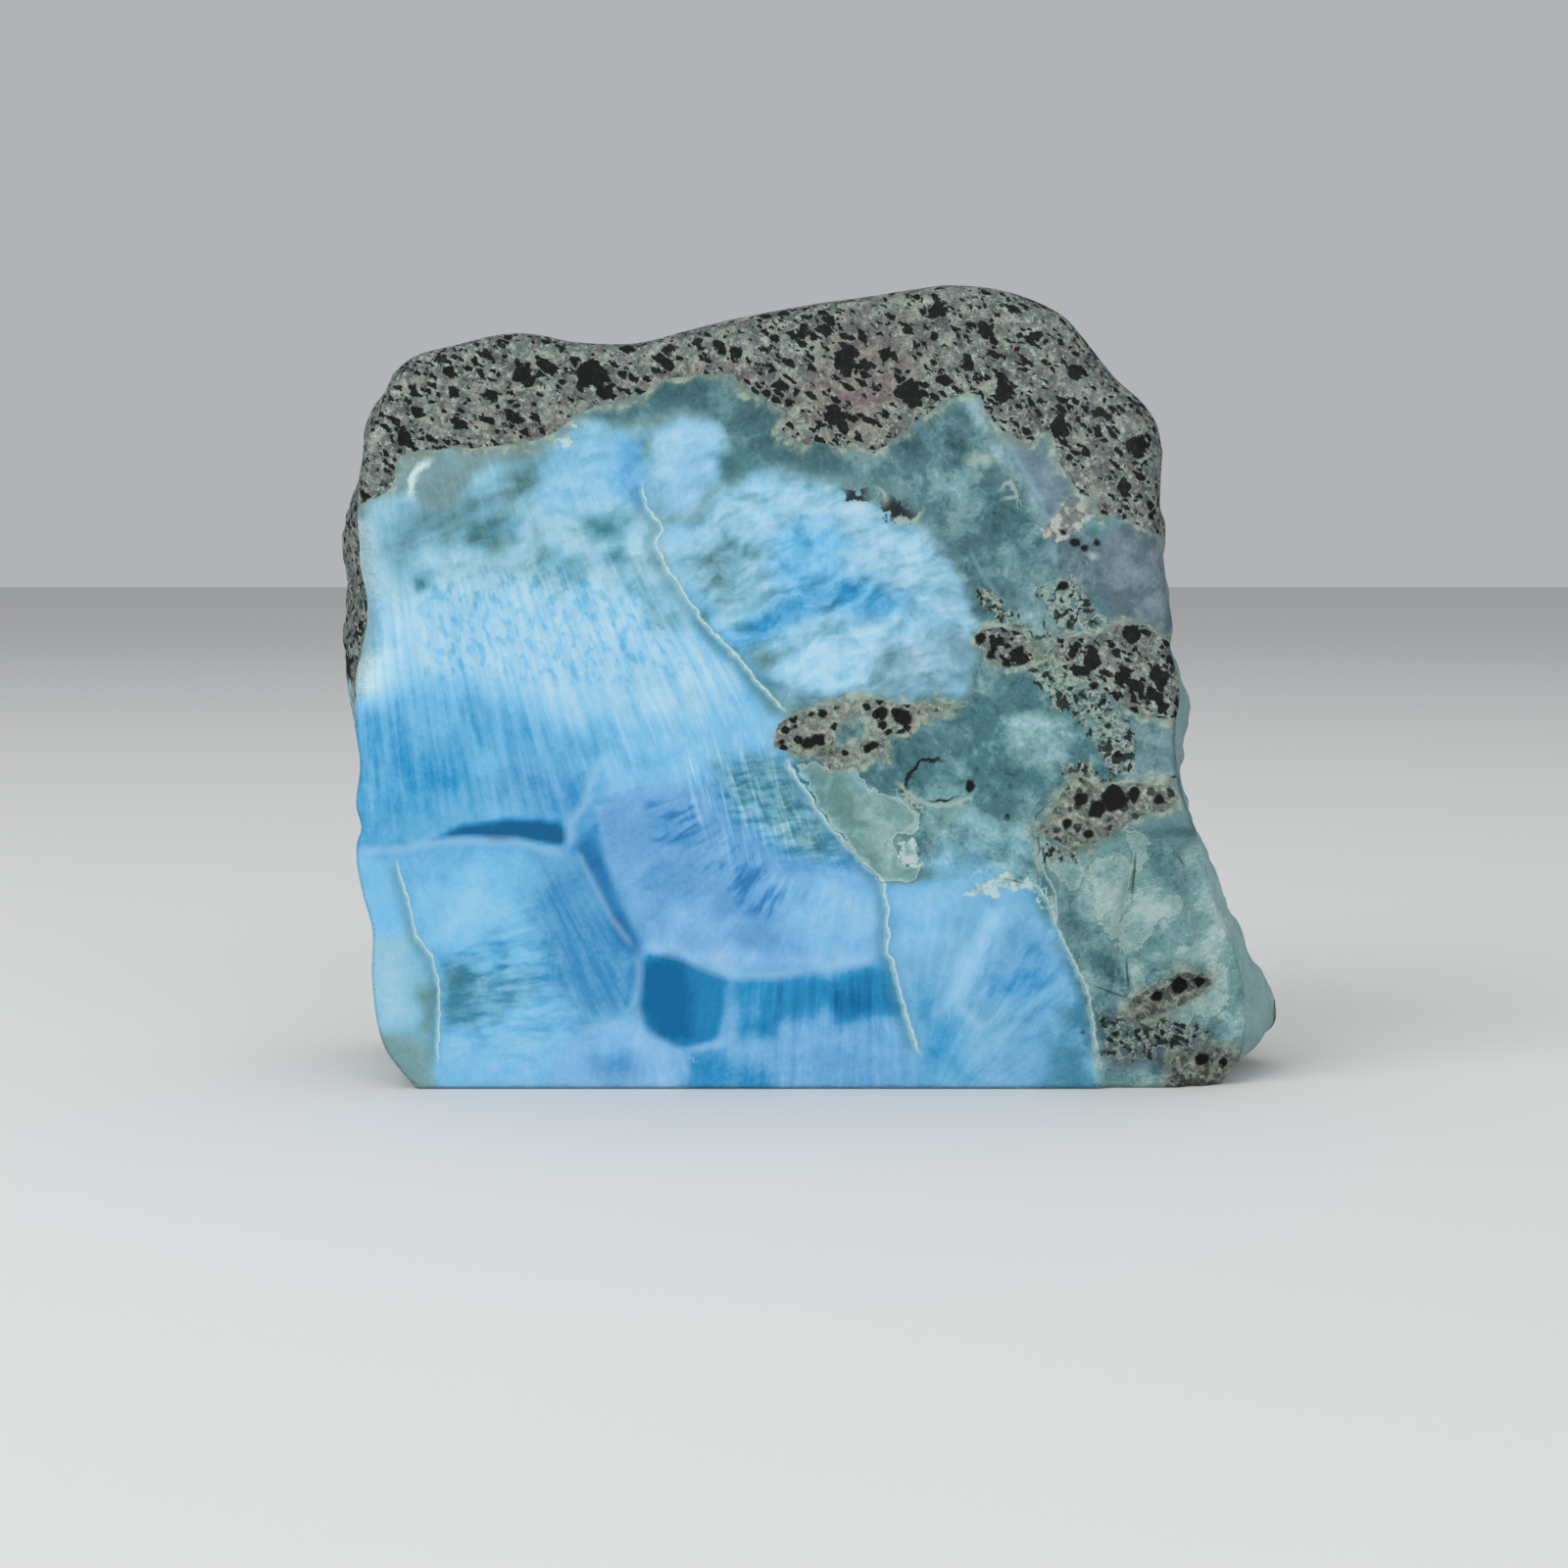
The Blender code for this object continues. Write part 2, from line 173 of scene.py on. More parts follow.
# Veins, cell walls and cracks as lines, and the width of each in millimetres. Walls that
# run side by side are in lists of their own.
LINES = {
    "vein": [
        ([(657, 490), (663, 518), (680, 538), (672, 554), (682, 577), (698, 602), (719, 632),
          (736, 650), (761, 677), (782, 703), (807, 730)], 0.42),
        ([(811, 770), (806, 781), (823, 804), (838, 829), (858, 853), (880, 877), (905, 901),
          (911, 933), (909, 974), (915, 986), (925, 1022), (933, 1052), (945, 1085)], 0.44),
        ([(1061, 903), (1076, 923), (1087, 953), (1101, 983), (1117, 1014), (1125, 1059),
          (1129, 1090)], 0.46),
        ([(1066, 863), (1071, 890), (1084, 913), (1086, 953)], 0.26),
        ([(403, 877), (416, 923), (424, 958), (440, 979), (447, 1013), (444, 1096)], 0.34),
    ],
    "wall": [
        ([(362, 870), (414, 868), (436, 861), (484, 859), (529, 860), (554, 867),
          (580, 873)], 0.3),
        ([(584, 870), (584, 841), (599, 822), (608, 793), (624, 768)], 0.34),
        ([(650, 972), (664, 969), (701, 978), (726, 991), (752, 999), (796, 998),
          (850, 990), (905, 980)], 0.34),
        ([(643, 1045), (621, 1052), (586, 1061)], 0.34),
        ([(656, 1052), (669, 1065), (698, 1080), (704, 1110)], 0.3),
        ([(701, 1077), (749, 1068)], 0.24),
        ([(1023, 933), (1006, 963), (994, 989), (989, 1009), (978, 1026), (951, 1046)], 0.46),
        ([(978, 1026), (1013, 1059)], 0.3),
        ([(866, 770), (880, 800), (905, 812)], 0.2),
    ],
    "inner_wall": [
        ([(584, 868), (592, 873), (605, 899), (624, 937), (650, 972)], 0.22),
        ([(650, 972), (655, 994), (650, 1026), (656, 1052), (643, 1045)], 0.3),
    ],
    "outer_wall": [
        ([(605, 815), (615, 829), (621, 873), (637, 921), (662, 969)], 0.24),
        ([(1000, 408), (1034, 455), (1067, 511), (1084, 582)], 0.2),
        ([(991, 555), (1008, 588), (1035, 622)], 0.14),
    ],
    "slit": [
        ([(862, 494), (872, 506), (884, 507), (897, 503)], 0.85),
        ([(903, 506), (913, 520), (926, 524), (938, 514)], 1.15),
        ([(972, 781), (964, 775), (955, 778), (945, 775), (936, 787), (929, 793), (929, 803),
          (937, 810)], 0.34),
        ([(948, 817), (966, 818), (986, 812)], 0.2),
    ],
    "ridge": [
        ([(893, 496), (904, 500), (909, 518), (922, 534), (938, 530), (950, 515)], 0.36),
        ([(870, 512), (886, 513), (896, 509)], 0.22),
        ([(916, 795), (928, 806), (944, 817), (962, 823), (984, 821), (1004, 810)], 0.34),
        ([(985, 470), (1004, 466), (1020, 476)], 0.6),
        ([(1019, 503), (1034, 490), (1042, 506), (1022, 510)], 0.24),
        ([(1083, 587), (1086, 600), (1078, 612)], 0.3),
        ([(914, 816), (928, 818), (941, 834), (938, 846), (920, 850)], 0.3),
        ([(1064, 857), (1066, 884), (1072, 900)], 0.34),
    ],
    # Painted glints: near-white lines that stand in for light caught by glassy edges
    "painted_glint": [
        ([(423, 512), (425, 490), (431, 475), (450, 469)], 0.5),
        ([(1112, 562), (1121, 567), (1128, 566)], 0.4),
        ([(1098, 571), (1103, 573)], 0.3),
    ],
    "crack": [
        ([(1168, 868), (1167, 890), (1164, 922)], 0.24),
        ([(1159, 978), (1160, 995), (1163, 1020)], 0.22),
        ([(1121, 1009), (1145, 1018), (1166, 1026), (1186, 1017), (1201, 997)], 0.16),
        ([(1210, 872), (1222, 893)], 0.24),
        ([(1030, 898), (1056, 904)], 0.24),
        ([(1090, 805), (1062, 835), (1068, 870), (1060, 880)], 0.14),
    ],
}
FLAKES = [
    [(990, 915), (1004, 903), (1020, 899), (1034, 894), (1052, 897), (1064, 905), (1072, 923),
     (1061, 912), (1046, 909), (1034, 911), (1012, 917)],
    [(921, 860), (938, 858), (944, 872), (942, 884), (926, 880)],
    [(573, 449), (590, 434), (592, 448), (584, 454)],
]

# Facets with crisp edges, some paler and some deeper than the rest, and one crumbled lump
FACETS = {
    "lump": [
        [(1067, 551), (1068, 536), (1080, 528), (1086, 514), (1098, 503), (1108, 508),
         (1122, 514), (1124, 526), (1108, 532), (1104, 546), (1086, 552)],
    ],
    "pale_facet": [
        [(1061, 850), (1082, 864), (1105, 872), (1117, 900), (1110, 916), (1092, 906), (1078, 886)],
        [(1117, 882), (1148, 872), (1163, 884), (1161, 925), (1150, 945), (1147, 972), (1136, 960),
         (1127, 938), (1124, 912)],
        [(1153, 845), (1170, 850), (1184, 862), (1180, 882), (1171, 896), (1162, 874)],
        [(1147, 952), (1158, 936), (1180, 926), (1204, 917), (1221, 924), (1216, 938),
         (1196, 943), (1186, 956), (1173, 972), (1156, 980), (1148, 970)],
        [(1164, 986), (1178, 998), (1180, 1012), (1166, 1022)],
        [(1196, 1044), (1232, 1018), (1244, 1036), (1218, 1056)],
        [(1225, 1000), (1262, 985), (1268, 1030), (1244, 1052)],
        [(814, 780), (876, 780), (893, 806), (912, 812), (928, 816), (942, 832), (938, 850),
         (916, 858), (922, 882), (944, 887), (938, 902), (908, 903), (880, 874), (842, 828)],
    ],
    "deep_facet": [
        [(1098, 912), (1110, 918), (1124, 930), (1132, 960), (1152, 986), (1158, 1012),
         (1128, 1004), (1112, 974), (1100, 946)],
        [(1164, 980), (1182, 962), (1204, 958), (1218, 972), (1200, 990), (1182, 998)],
        [(1178, 866), (1204, 860), (1224, 884), (1206, 900), (1184, 892)],
    ],
}

# Tints of the larimar on the face, laid over each other in this order. Each has an outline,
# how far it fades in millimetres, and how pale, green, violet and grey it is, from 0 to 1.
TINTS = [
    # blue under all the other tints of the left and of the bottom
    ([(330, 560), (700, 540), (812, 780), (905, 905), (1061, 905), (1130, 1140), (330, 1140)],
     1.0, 0.52, 0.1, 0.2, 0.0),
    # left field, from its bright upper band to the deeper blue above the first cell wall
    ([(340, 560), (700, 540), (790, 700), (720, 770), (600, 740), (480, 705), (340, 720)],
     4.0, 0.85, 0.2, 0.0, 0.0),
    ([(340, 720), (480, 715), (590, 765), (630, 800), (590, 840), (450, 850), (340, 870)],
     3.0, 0.52, 0.03, 0.0, 0.0),
    ([(350, 770), (440, 765), (470, 800), (430, 850), (350, 860)], 2.6, 0.44, 0.0, 0.0, 0.0),
    ([(418, 778), (475, 772), (470, 806), (420, 806)], 1.4, 0.38, 0.05, 0.0, 0.0),
    ([(520, 775), (600, 790), (590, 835), (500, 835)], 1.8, 0.46, 0.0, 0.35, 0.0),
    # near-white band along the chipped left edge: partly pale stone, partly a painted highlight where
    # the edge catches the light
    ([(340, 560), (405, 530), (425, 550), (405, 640), (390, 710), (340, 720)],
     1.4, 0.98, 0.5, 0.0, 0.0),
    ([(350, 530), (396, 535), (408, 560), (400, 596), (350, 600)], 0.6, 1.0, 0.55, 0.0, 0.3),
    ([(350, 610), (392, 600), (404, 650), (388, 668), (350, 670)], 0.9, 0.72, 0.35, 0.0, 0.0),
    ([(440, 858), (478, 847), (522, 839), (574, 838), (580, 852), (576, 862), (520, 857)],
     0.32, -0.05, 0.34, 0.0, 0.0),
    # pale corner under the cap at the left, with a dark band and smudges
    ([(375, 500), (420, 462), (560, 445), (600, 420), (650, 425), (700, 600), (560, 600),
      (430, 605), (375, 600)], 1.5, 0.80, 0.42, 0.0, 0.0),
    ([(392, 560), (402, 535), (440, 505), (500, 498), (560, 455), (590, 440), (602, 456),
      (560, 492), (500, 530), (440, 562), (410, 590)], 1.6, 0.46, 0.62, 0.0, 0.1),
    ([(402, 502), (418, 462), (470, 453), (551, 444), (590, 428), (602, 440), (560, 464),
      (500, 480), (450, 492)], 0.6, 0.52, 0.75, 0.0, 0.4),
    ([(427, 474), (466, 468), (484, 490), (462, 516), (430, 518)], 0.5, 0.56, 0.7, 0.0, 0.4),
    ([(480, 535), (500, 526), (536, 530), (530, 550), (500, 559), (480, 552)],
     1.0, 0.38, 0.62, 0.0, 0.0),
    ([(596, 530), (615, 523), (648, 530), (642, 546), (612, 550)], 0.9, 0.34, 0.62, 0.0, 0.0),
    ([(618, 563), (640, 559), (643, 575), (626, 580)], 0.8, 0.36, 0.62, 0.0, 0.0),
    ([(424, 587), (442, 582), (447, 597), (430, 602)], 0.6, 0.40, 0.6, 0.0, 0.0),
    ([(560, 560), (610, 575), (600, 600), (555, 590)], 1.0, 0.54, 0.5, 0.0, 0.0),
    ([(640, 590), (680, 600), (705, 640), (670, 640)], 1.1, 0.62, 0.5, 0.0, 0.0),
    ([(553, 500), (575, 455), (610, 436), (636, 440), (640, 470), (625, 510), (590, 528),
      (560, 520)], 1.1, 0.74, 0.24, 0.0, 0.1),
    ([(626, 475), (638, 448), (662, 446), (666, 520), (642, 514), (630, 498)],
     0.9, 0.50, 0.15, 0.35, 0.0),
    # grey-green band under the cap, and the cloud between it and the vein
    ([(600, 425), (690, 380), (765, 380), (810, 430), (900, 450), (895, 486), (820, 480),
      (770, 468), (745, 442), (715, 415), (670, 418), (640, 434)], 0.9, 0.28, 0.85, 0.0, 0.2),
    ([(668, 505), (672, 440), (700, 424), (738, 436), (748, 465), (735, 500), (700, 525),
      (682, 520)], 0.9, 0.8, 0.2, 0.15, 0.1),
    ([(732, 461), (766, 461), (792, 480), (765, 493), (738, 486)], 0.8, 0.32, 0.72, 0.0, 0.0),
    # the large cloud, with a blue streak and a grey-green side
    ([(690, 590), (700, 545), (745, 500), (790, 482), (850, 490), (885, 522), (940, 540),
      (985, 580), (1002, 620), (988, 660), (978, 703), (900, 710), (830, 714), (800, 694),
      (776, 650), (736, 622)], 1.2, 0.77, 0.27, 0.0, 0.1),
    ([(785, 695), (830, 660), (880, 645), (950, 650), (985, 660), (970, 700), (900, 706),
      (830, 710)], 1.1, 0.92, 0.16, 0.0, 0.0),
    ([(905, 655), (985, 640), (1006, 665), (986, 716), (900, 716), (880, 702)],
     1.0, 0.68, 0.34, 0.0, 0.4),
    ([(940, 545), (985, 560), (1012, 610), (1004, 650), (984, 640), (970, 590)],
     1.0, 0.72, 0.34, 0.0, 0.3),
    ([(800, 500), (860, 495), (930, 545), (985, 590), (990, 640), (930, 600), (870, 560),
      (810, 530)], 1.3, 0.85, 0.24, 0.0, 0.1),
    ([(740, 500), (790, 485), (810, 510), (770, 545), (730, 545)], 1.0, 0.84, 0.28, 0.0, 0.0),
    ([(790, 550), (830, 532), (868, 548), (860, 592), (805, 602)], 1.4, 0.66, 0.05, 0.0, 0.0),
    ([(745, 655), (790, 615), (830, 590), (890, 592), (930, 612), (900, 628), (850, 618),
      (800, 642), (762, 668)], 1.0, 0.44, 0.16, 0.05, 0.0),
    ([(700, 565), (730, 545), (770, 560), (778, 590), (752, 628), (722, 607)],
     1.1, 0.64, 0.48, 0.0, 0.1),
    ([(736, 562), (758, 554), (778, 566), (758, 578), (742, 575)], 0.7, 0.54, 0.55, 0.0, 0.0),
    ([(700, 600), (725, 625), (760, 665), (802, 702), (788, 714), (750, 682), (715, 642)],
     0.6, 0.46, 0.45, 0.0, 0.0),
    ([(800, 702), (900, 708), (960, 706), (985, 690), (992, 712), (900, 722), (810, 722)],
     0.6, 0.60, 0.35, 0.1, 0.3),
    # grey-green column at the right, with slate-blue corners
    ([(860, 462), (960, 415), (1005, 400), (1060, 450), (1100, 560), (1130, 650), (1080, 670),
      (1015, 645), (1003, 600), (965, 545), (905, 512)], 0.9, 0.38, 0.9, 0.0, 0.25),
    ([(915, 458), (960, 420), (990, 403), (1004, 440), (988, 462), (940, 466)],
     0.8, 0.22, 0.9, 0.0, 0.25),
    ([(918, 474), (950, 462), (1000, 480), (1010, 505), (965, 510), (935, 500)],
     0.9, 0.40, 0.8, 0.0, 0.2),
    ([(955, 492), (990, 488), (996, 515), (962, 522)], 0.7, 0.42, 0.75, 0.0, 0.2),
    ([(990, 508), (1050, 505), (1068, 560), (1040, 575), (1000, 560)], 1.0, 0.31, 0.9, 0.0, 0.2),
    ([(960, 530), (985, 545), (1018, 600), (1030, 640), (1005, 630), (985, 590)],
     0.7, 0.28, 0.9, 0.0, 0.2),
    ([(1035, 575), (1072, 565), (1080, 610), (1060, 640), (1035, 625)], 0.8, 0.46, 0.8, 0.0, 0.3),
    ([(1024, 562), (1042, 560), (1046, 580), (1028, 584)], 0.5, 0.6, 0.75, 0.0, 0.2),
    ([(1044, 588), (1070, 582), (1072, 606), (1050, 608)], 0.5, 0.6, 0.75, 0.0, 0.2),
    ([(1003, 400), (1060, 446), (1090, 475), (1115, 510), (1075, 540), (1067, 511)],
     0.9, 0.48, 0.55, 0.0, 0.85),
    ([(984, 402), (998, 398), (1022, 440), (1048, 476), (1066, 512), (1072, 545), (1060, 530),
      (1034, 490), (1008, 455)], 0.6, 0.60, 0.65, 0.0, 0.5),
    ([(1080, 548), (1130, 545), (1142, 600), (1112, 612), (1085, 592)], 0.6, 0.32, 0.8, 0.0, 0.8),
    ([(1129, 545), (1160, 520), (1260, 530), (1260, 660), (1150, 650), (1128, 600)],
     0.5, 0.34, 0.4, 0.0, 1.0),
    # mottled green below the clouds
    ([(820, 715), (990, 715), (1010, 675), (1085, 690), (1230, 740), (1230, 800), (1100, 800),
      (1065, 870), (1060, 905), (960, 905), (900, 890), (850, 840), (806, 778)],
     1.2, 0.34, 0.92, 0.0, 0.08),
    ([(1030, 735), (1072, 725), (1104, 752), (1090, 782), (1040, 780)], 0.6, 0.62, 0.7, 0.0, 0.1),
    ([(1030, 800), (1062, 795), (1070, 822), (1040, 838)], 0.9, 0.48, 0.75, 0.0, 0.1),
    ([(945, 735), (985, 728), (992, 760), (955, 768)], 1.0, 0.46, 0.75, 0.0, 0.2),
    ([(1000, 690), (1025, 684), (1036, 708), (1012, 718)], 0.6, 0.52, 0.7, 0.0, 0.25),
    ([(1135, 735), (1230, 735), (1230, 800), (1150, 800)], 0.7, 0.54, 0.75, 0.0, 0.5),
    ([(1000, 825), (1060, 850), (1060, 900), (960, 900), (950, 860)], 1.3, 0.56, 0.62, 0.0, 0.15),
    ([(940, 880), (1000, 870), (1040, 905), (980, 930)], 1.2, 0.66, 0.36, 0.1, 0.1),
    ([(812, 781), (862, 785), (886, 832), (913, 880), (905, 897), (880, 872), (845, 826)],
     0.3, 0.24, 0.85, 0.0, 0.2),
    ([(868, 800), (900, 815), (938, 830), (920, 870), (915, 895), (890, 860)],
     0.8, 0.44, 0.85, 0.0, 0.4),
    # central cell: violet, with a green and white corner at the vein
    ([(604, 840), (630, 792), (700, 770), (800, 735), (812, 780), (850, 850), (905, 905),
      (905, 980), (760, 997), (700, 978), (660, 962), (625, 900)], 1.2, 0.49, 0.0, 0.65, 0.0),
    ([(602, 780), (665, 745), (760, 720), (800, 735), (812, 780), (760, 792), (690, 800),
      (640, 806)], 1.3, 0.70, 0.16, 0.1, 0.0),
    ([(724, 778), (800, 772), (832, 814), (864, 852), (862, 888), (800, 868), (752, 832)],
     2.0, 0.5, 0.58, 0.0, 0.0),
    ([(796, 905), (860, 884), (905, 905), (905, 975), (840, 985), (800, 950)],
     1.3, 0.68, 0.05, 0.4, 0.0),
    ([(664, 826), (700, 818), (722, 850), (700, 868), (672, 858)], 0.9, 0.38, 0.0, 0.6, 0.0),
    ([(730, 880), (775, 884), (805, 912), (795, 938), (760, 920)], 0.9, 0.46, 0.0, 0.5, 0.0),
    ([(662, 962), (720, 964), (800, 980), (900, 962), (906, 976), (850, 990), (750, 998)],
     1.0, 0.68, 0.0, 0.7, 0.0),
    ([(690, 925), (760, 940), (740, 970), (690, 960)], 1.4, 0.66, 0.0, 0.7, 0.0),
    # bottom-left cell
    ([(340, 870), (560, 868), (592, 880), (640, 970), (645, 1040), (580, 1068), (540, 1140),
      (340, 1140)], 0.7, 0.60, 0.02, 0.1, 0.0),
    ([(425, 868), (475, 866), (472, 900), (432, 906)], 1.3, 0.54, 0.0, 0.15, 0.0),
    ([(460, 890), (512, 890), (520, 930), (490, 972), (438, 962)], 1.8, 0.74, 0.12, 0.0, 0.0),
    ([(545, 875), (592, 880), (645, 970), (648, 1035), (600, 1056), (556, 1000)],
     2.2, 0.38, 0.0, 0.25, 0.1),
    ([(468, 985), (540, 972), (560, 1010), (530, 1066), (468, 1072)], 1.8, 0.58, 0.34, 0.0, 0.0),
    ([(455, 1060), (540, 1040), (590, 1070), (540, 1120), (455, 1120)], 1.2, 0.72, 0.1, 0.1, 0.0),
    ([(452, 985), (476, 986), (488, 1012), (480, 1046), (452, 1056)], 1.0, 0.36, 0.56, 0.0, 0.0),
    ([(340, 875), (404, 877), (418, 930), (426, 960), (441, 982), (448, 1013), (444, 1140),
      (340, 1140)], 0.35, 0.66, 0.4, 0.0, 0.0),
    ([(350, 880), (402, 882), (414, 925), (408, 960), (350, 960)], 0.8, 0.66, 0.1, 0.1, 0.0),
    ([(376, 962), (412, 962), (418, 1040), (388, 1062)], 1.4, 0.82, 0.36, 0.0, 0.0),
    ([(426, 1010), (444, 1010), (444, 1062), (428, 1060)], 0.6, 0.5, 0.75, 0.0, 0.0),
    ([(340, 1050), (440, 1070), (444, 1140), (340, 1140)], 1.0, 0.58, 0.75, 0.0, 0.2),
    # channel between the cells, the deep cell and the deep strip
    ([(588, 866), (606, 850), (622, 880), (640, 925), (660, 968), (652, 1000), (640, 1030),
      (645, 985), (620, 935), (600, 895)], 0.7, 0.16, 0.0, 0.35, 0.0),
    ([(655, 990), (668, 973), (726, 989), (746, 1002), (746, 1035), (733, 1069), (694, 1074),
      (664, 1060), (652, 1033)], 0.45, 0.18, 0.08, 0.0, 0.0),
    ([(657, 995), (672, 980), (700, 990), (705, 1060), (680, 1062), (656, 1035)],
     1.0, -0.05, 0.16, 0.0, 0.0),
    ([(746, 1000), (905, 984), (925, 1022), (945, 1085), (950, 1140), (700, 1140), (703, 1077),
      (735, 1068)], 0.5, 0.54, 0.0, 0.45, 0.0),
    ([(748, 1003), (800, 1003), (910, 990), (922, 1035), (850, 1040), (790, 1046), (755, 1040)],
     1.1, 0.26, 0.04, 0.0, 0.0),
    ([(835, 1010), (905, 996), (920, 1030), (860, 1045)], 0.8, 0.12, 0.05, 0.0, 0.0),
    ([(758, 1045), (795, 1045), (792, 1080), (760, 1080)], 0.9, 0.16, 0.0, 0.0, 0.0),
    ([(730, 1068), (800, 1060), (860, 1060), (919, 1070), (925, 1120), (740, 1120)],
     1.0, 0.56, 0.0, 0.45, 0.0),
    ([(700, 1086), (740, 1080), (790, 1100), (790, 1140), (700, 1140)], 1.0, 0.36, 0.0, 0.1, 0.0),
    ([(586, 1064), (643, 1048), (656, 1056), (696, 1084), (700, 1140), (540, 1140)],
     0.7, 0.66, 0.0, 0.6, 0.0),
    ([(600, 1085), (640, 1070), (660, 1100), (620, 1120)], 0.9, 0.48, 0.0, 0.5, 0.0),
    # right-hand blue area between the two veins
    ([(908, 905), (1000, 905), (1061, 905), (1090, 960), (1118, 1030), (1130, 1140),
      (952, 1140), (933, 1050), (914, 985)], 0.7, 0.60, 0.12, 0.15, 0.15),
    ([(916, 915), (960, 905), (985, 920), (960, 975), (925, 975)], 1.2, 0.68, 0.15, 0.3, 0.0),
    ([(1012, 930), (1034, 935), (1010, 985), (994, 1020), (978, 1040), (968, 1030)],
     0.8, 0.78, 0.1, 0.1, 0.0),
    ([(1022, 975), (1070, 965), (1092, 1010), (1060, 1030), (1005, 1010)], 1.2, 0.58, 0.1, 0.3, 0.1),
    ([(945, 1010), (985, 1040), (1000, 1110), (950, 1110)], 1.2, 0.42, 0.2, 0.0, 0.0),
    ([(1010, 1000), (1060, 995), (1085, 1015), (1020, 1025)], 0.8, 0.44, 0.0, 0.2, 0.0),
    ([(1080, 1030), (1118, 1030), (1130, 1140), (1070, 1140)], 1.2, 0.38, 0.5, 0.0, 0.0),
    # fractured corner
    ([(1064, 870), (1130, 865), (1260, 850), (1330, 1000), (1330, 1140), (1130, 1140),
      (1118, 1014), (1086, 950)], 0.5, 0.62, 0.88, 0.0, 0.05),
    ([(1064, 880), (1100, 880), (1110, 960), (1095, 960)], 0.8, 0.44, 0.85, 0.0, 0.2),
    ([(1120, 960), (1150, 990), (1160, 1060), (1135, 1080)], 0.9, 0.42, 0.9, 0.0, 0.1),
    ([(1170, 970), (1230, 970), (1250, 996), (1180, 1004)], 0.9, 0.48, 0.85, 0.0, 0.1),
    ([(1165, 866), (1240, 882), (1278, 950), (1256, 985), (1176, 985)],
     1.0, 0.72, 0.8, 0.0, 0.05),
    ([(1180, 870), (1215, 880), (1225, 915), (1195, 915)], 0.8, 0.6, 0.8, 0.0, 0.05),
    ([(1132, 1036), (1200, 1036), (1250, 1056), (1250, 1100), (1138, 1100)],
     0.8, 0.24, 0.6, 0.0, 0.9),
]

# The tint where none is laid, as pale, green, violet and grey
PLAIN_TINT = [0.42, 0.85, 0.0, 0.25]

# How strongly fibres show outside the combed areas
PLAIN_FIBRES = 0.2

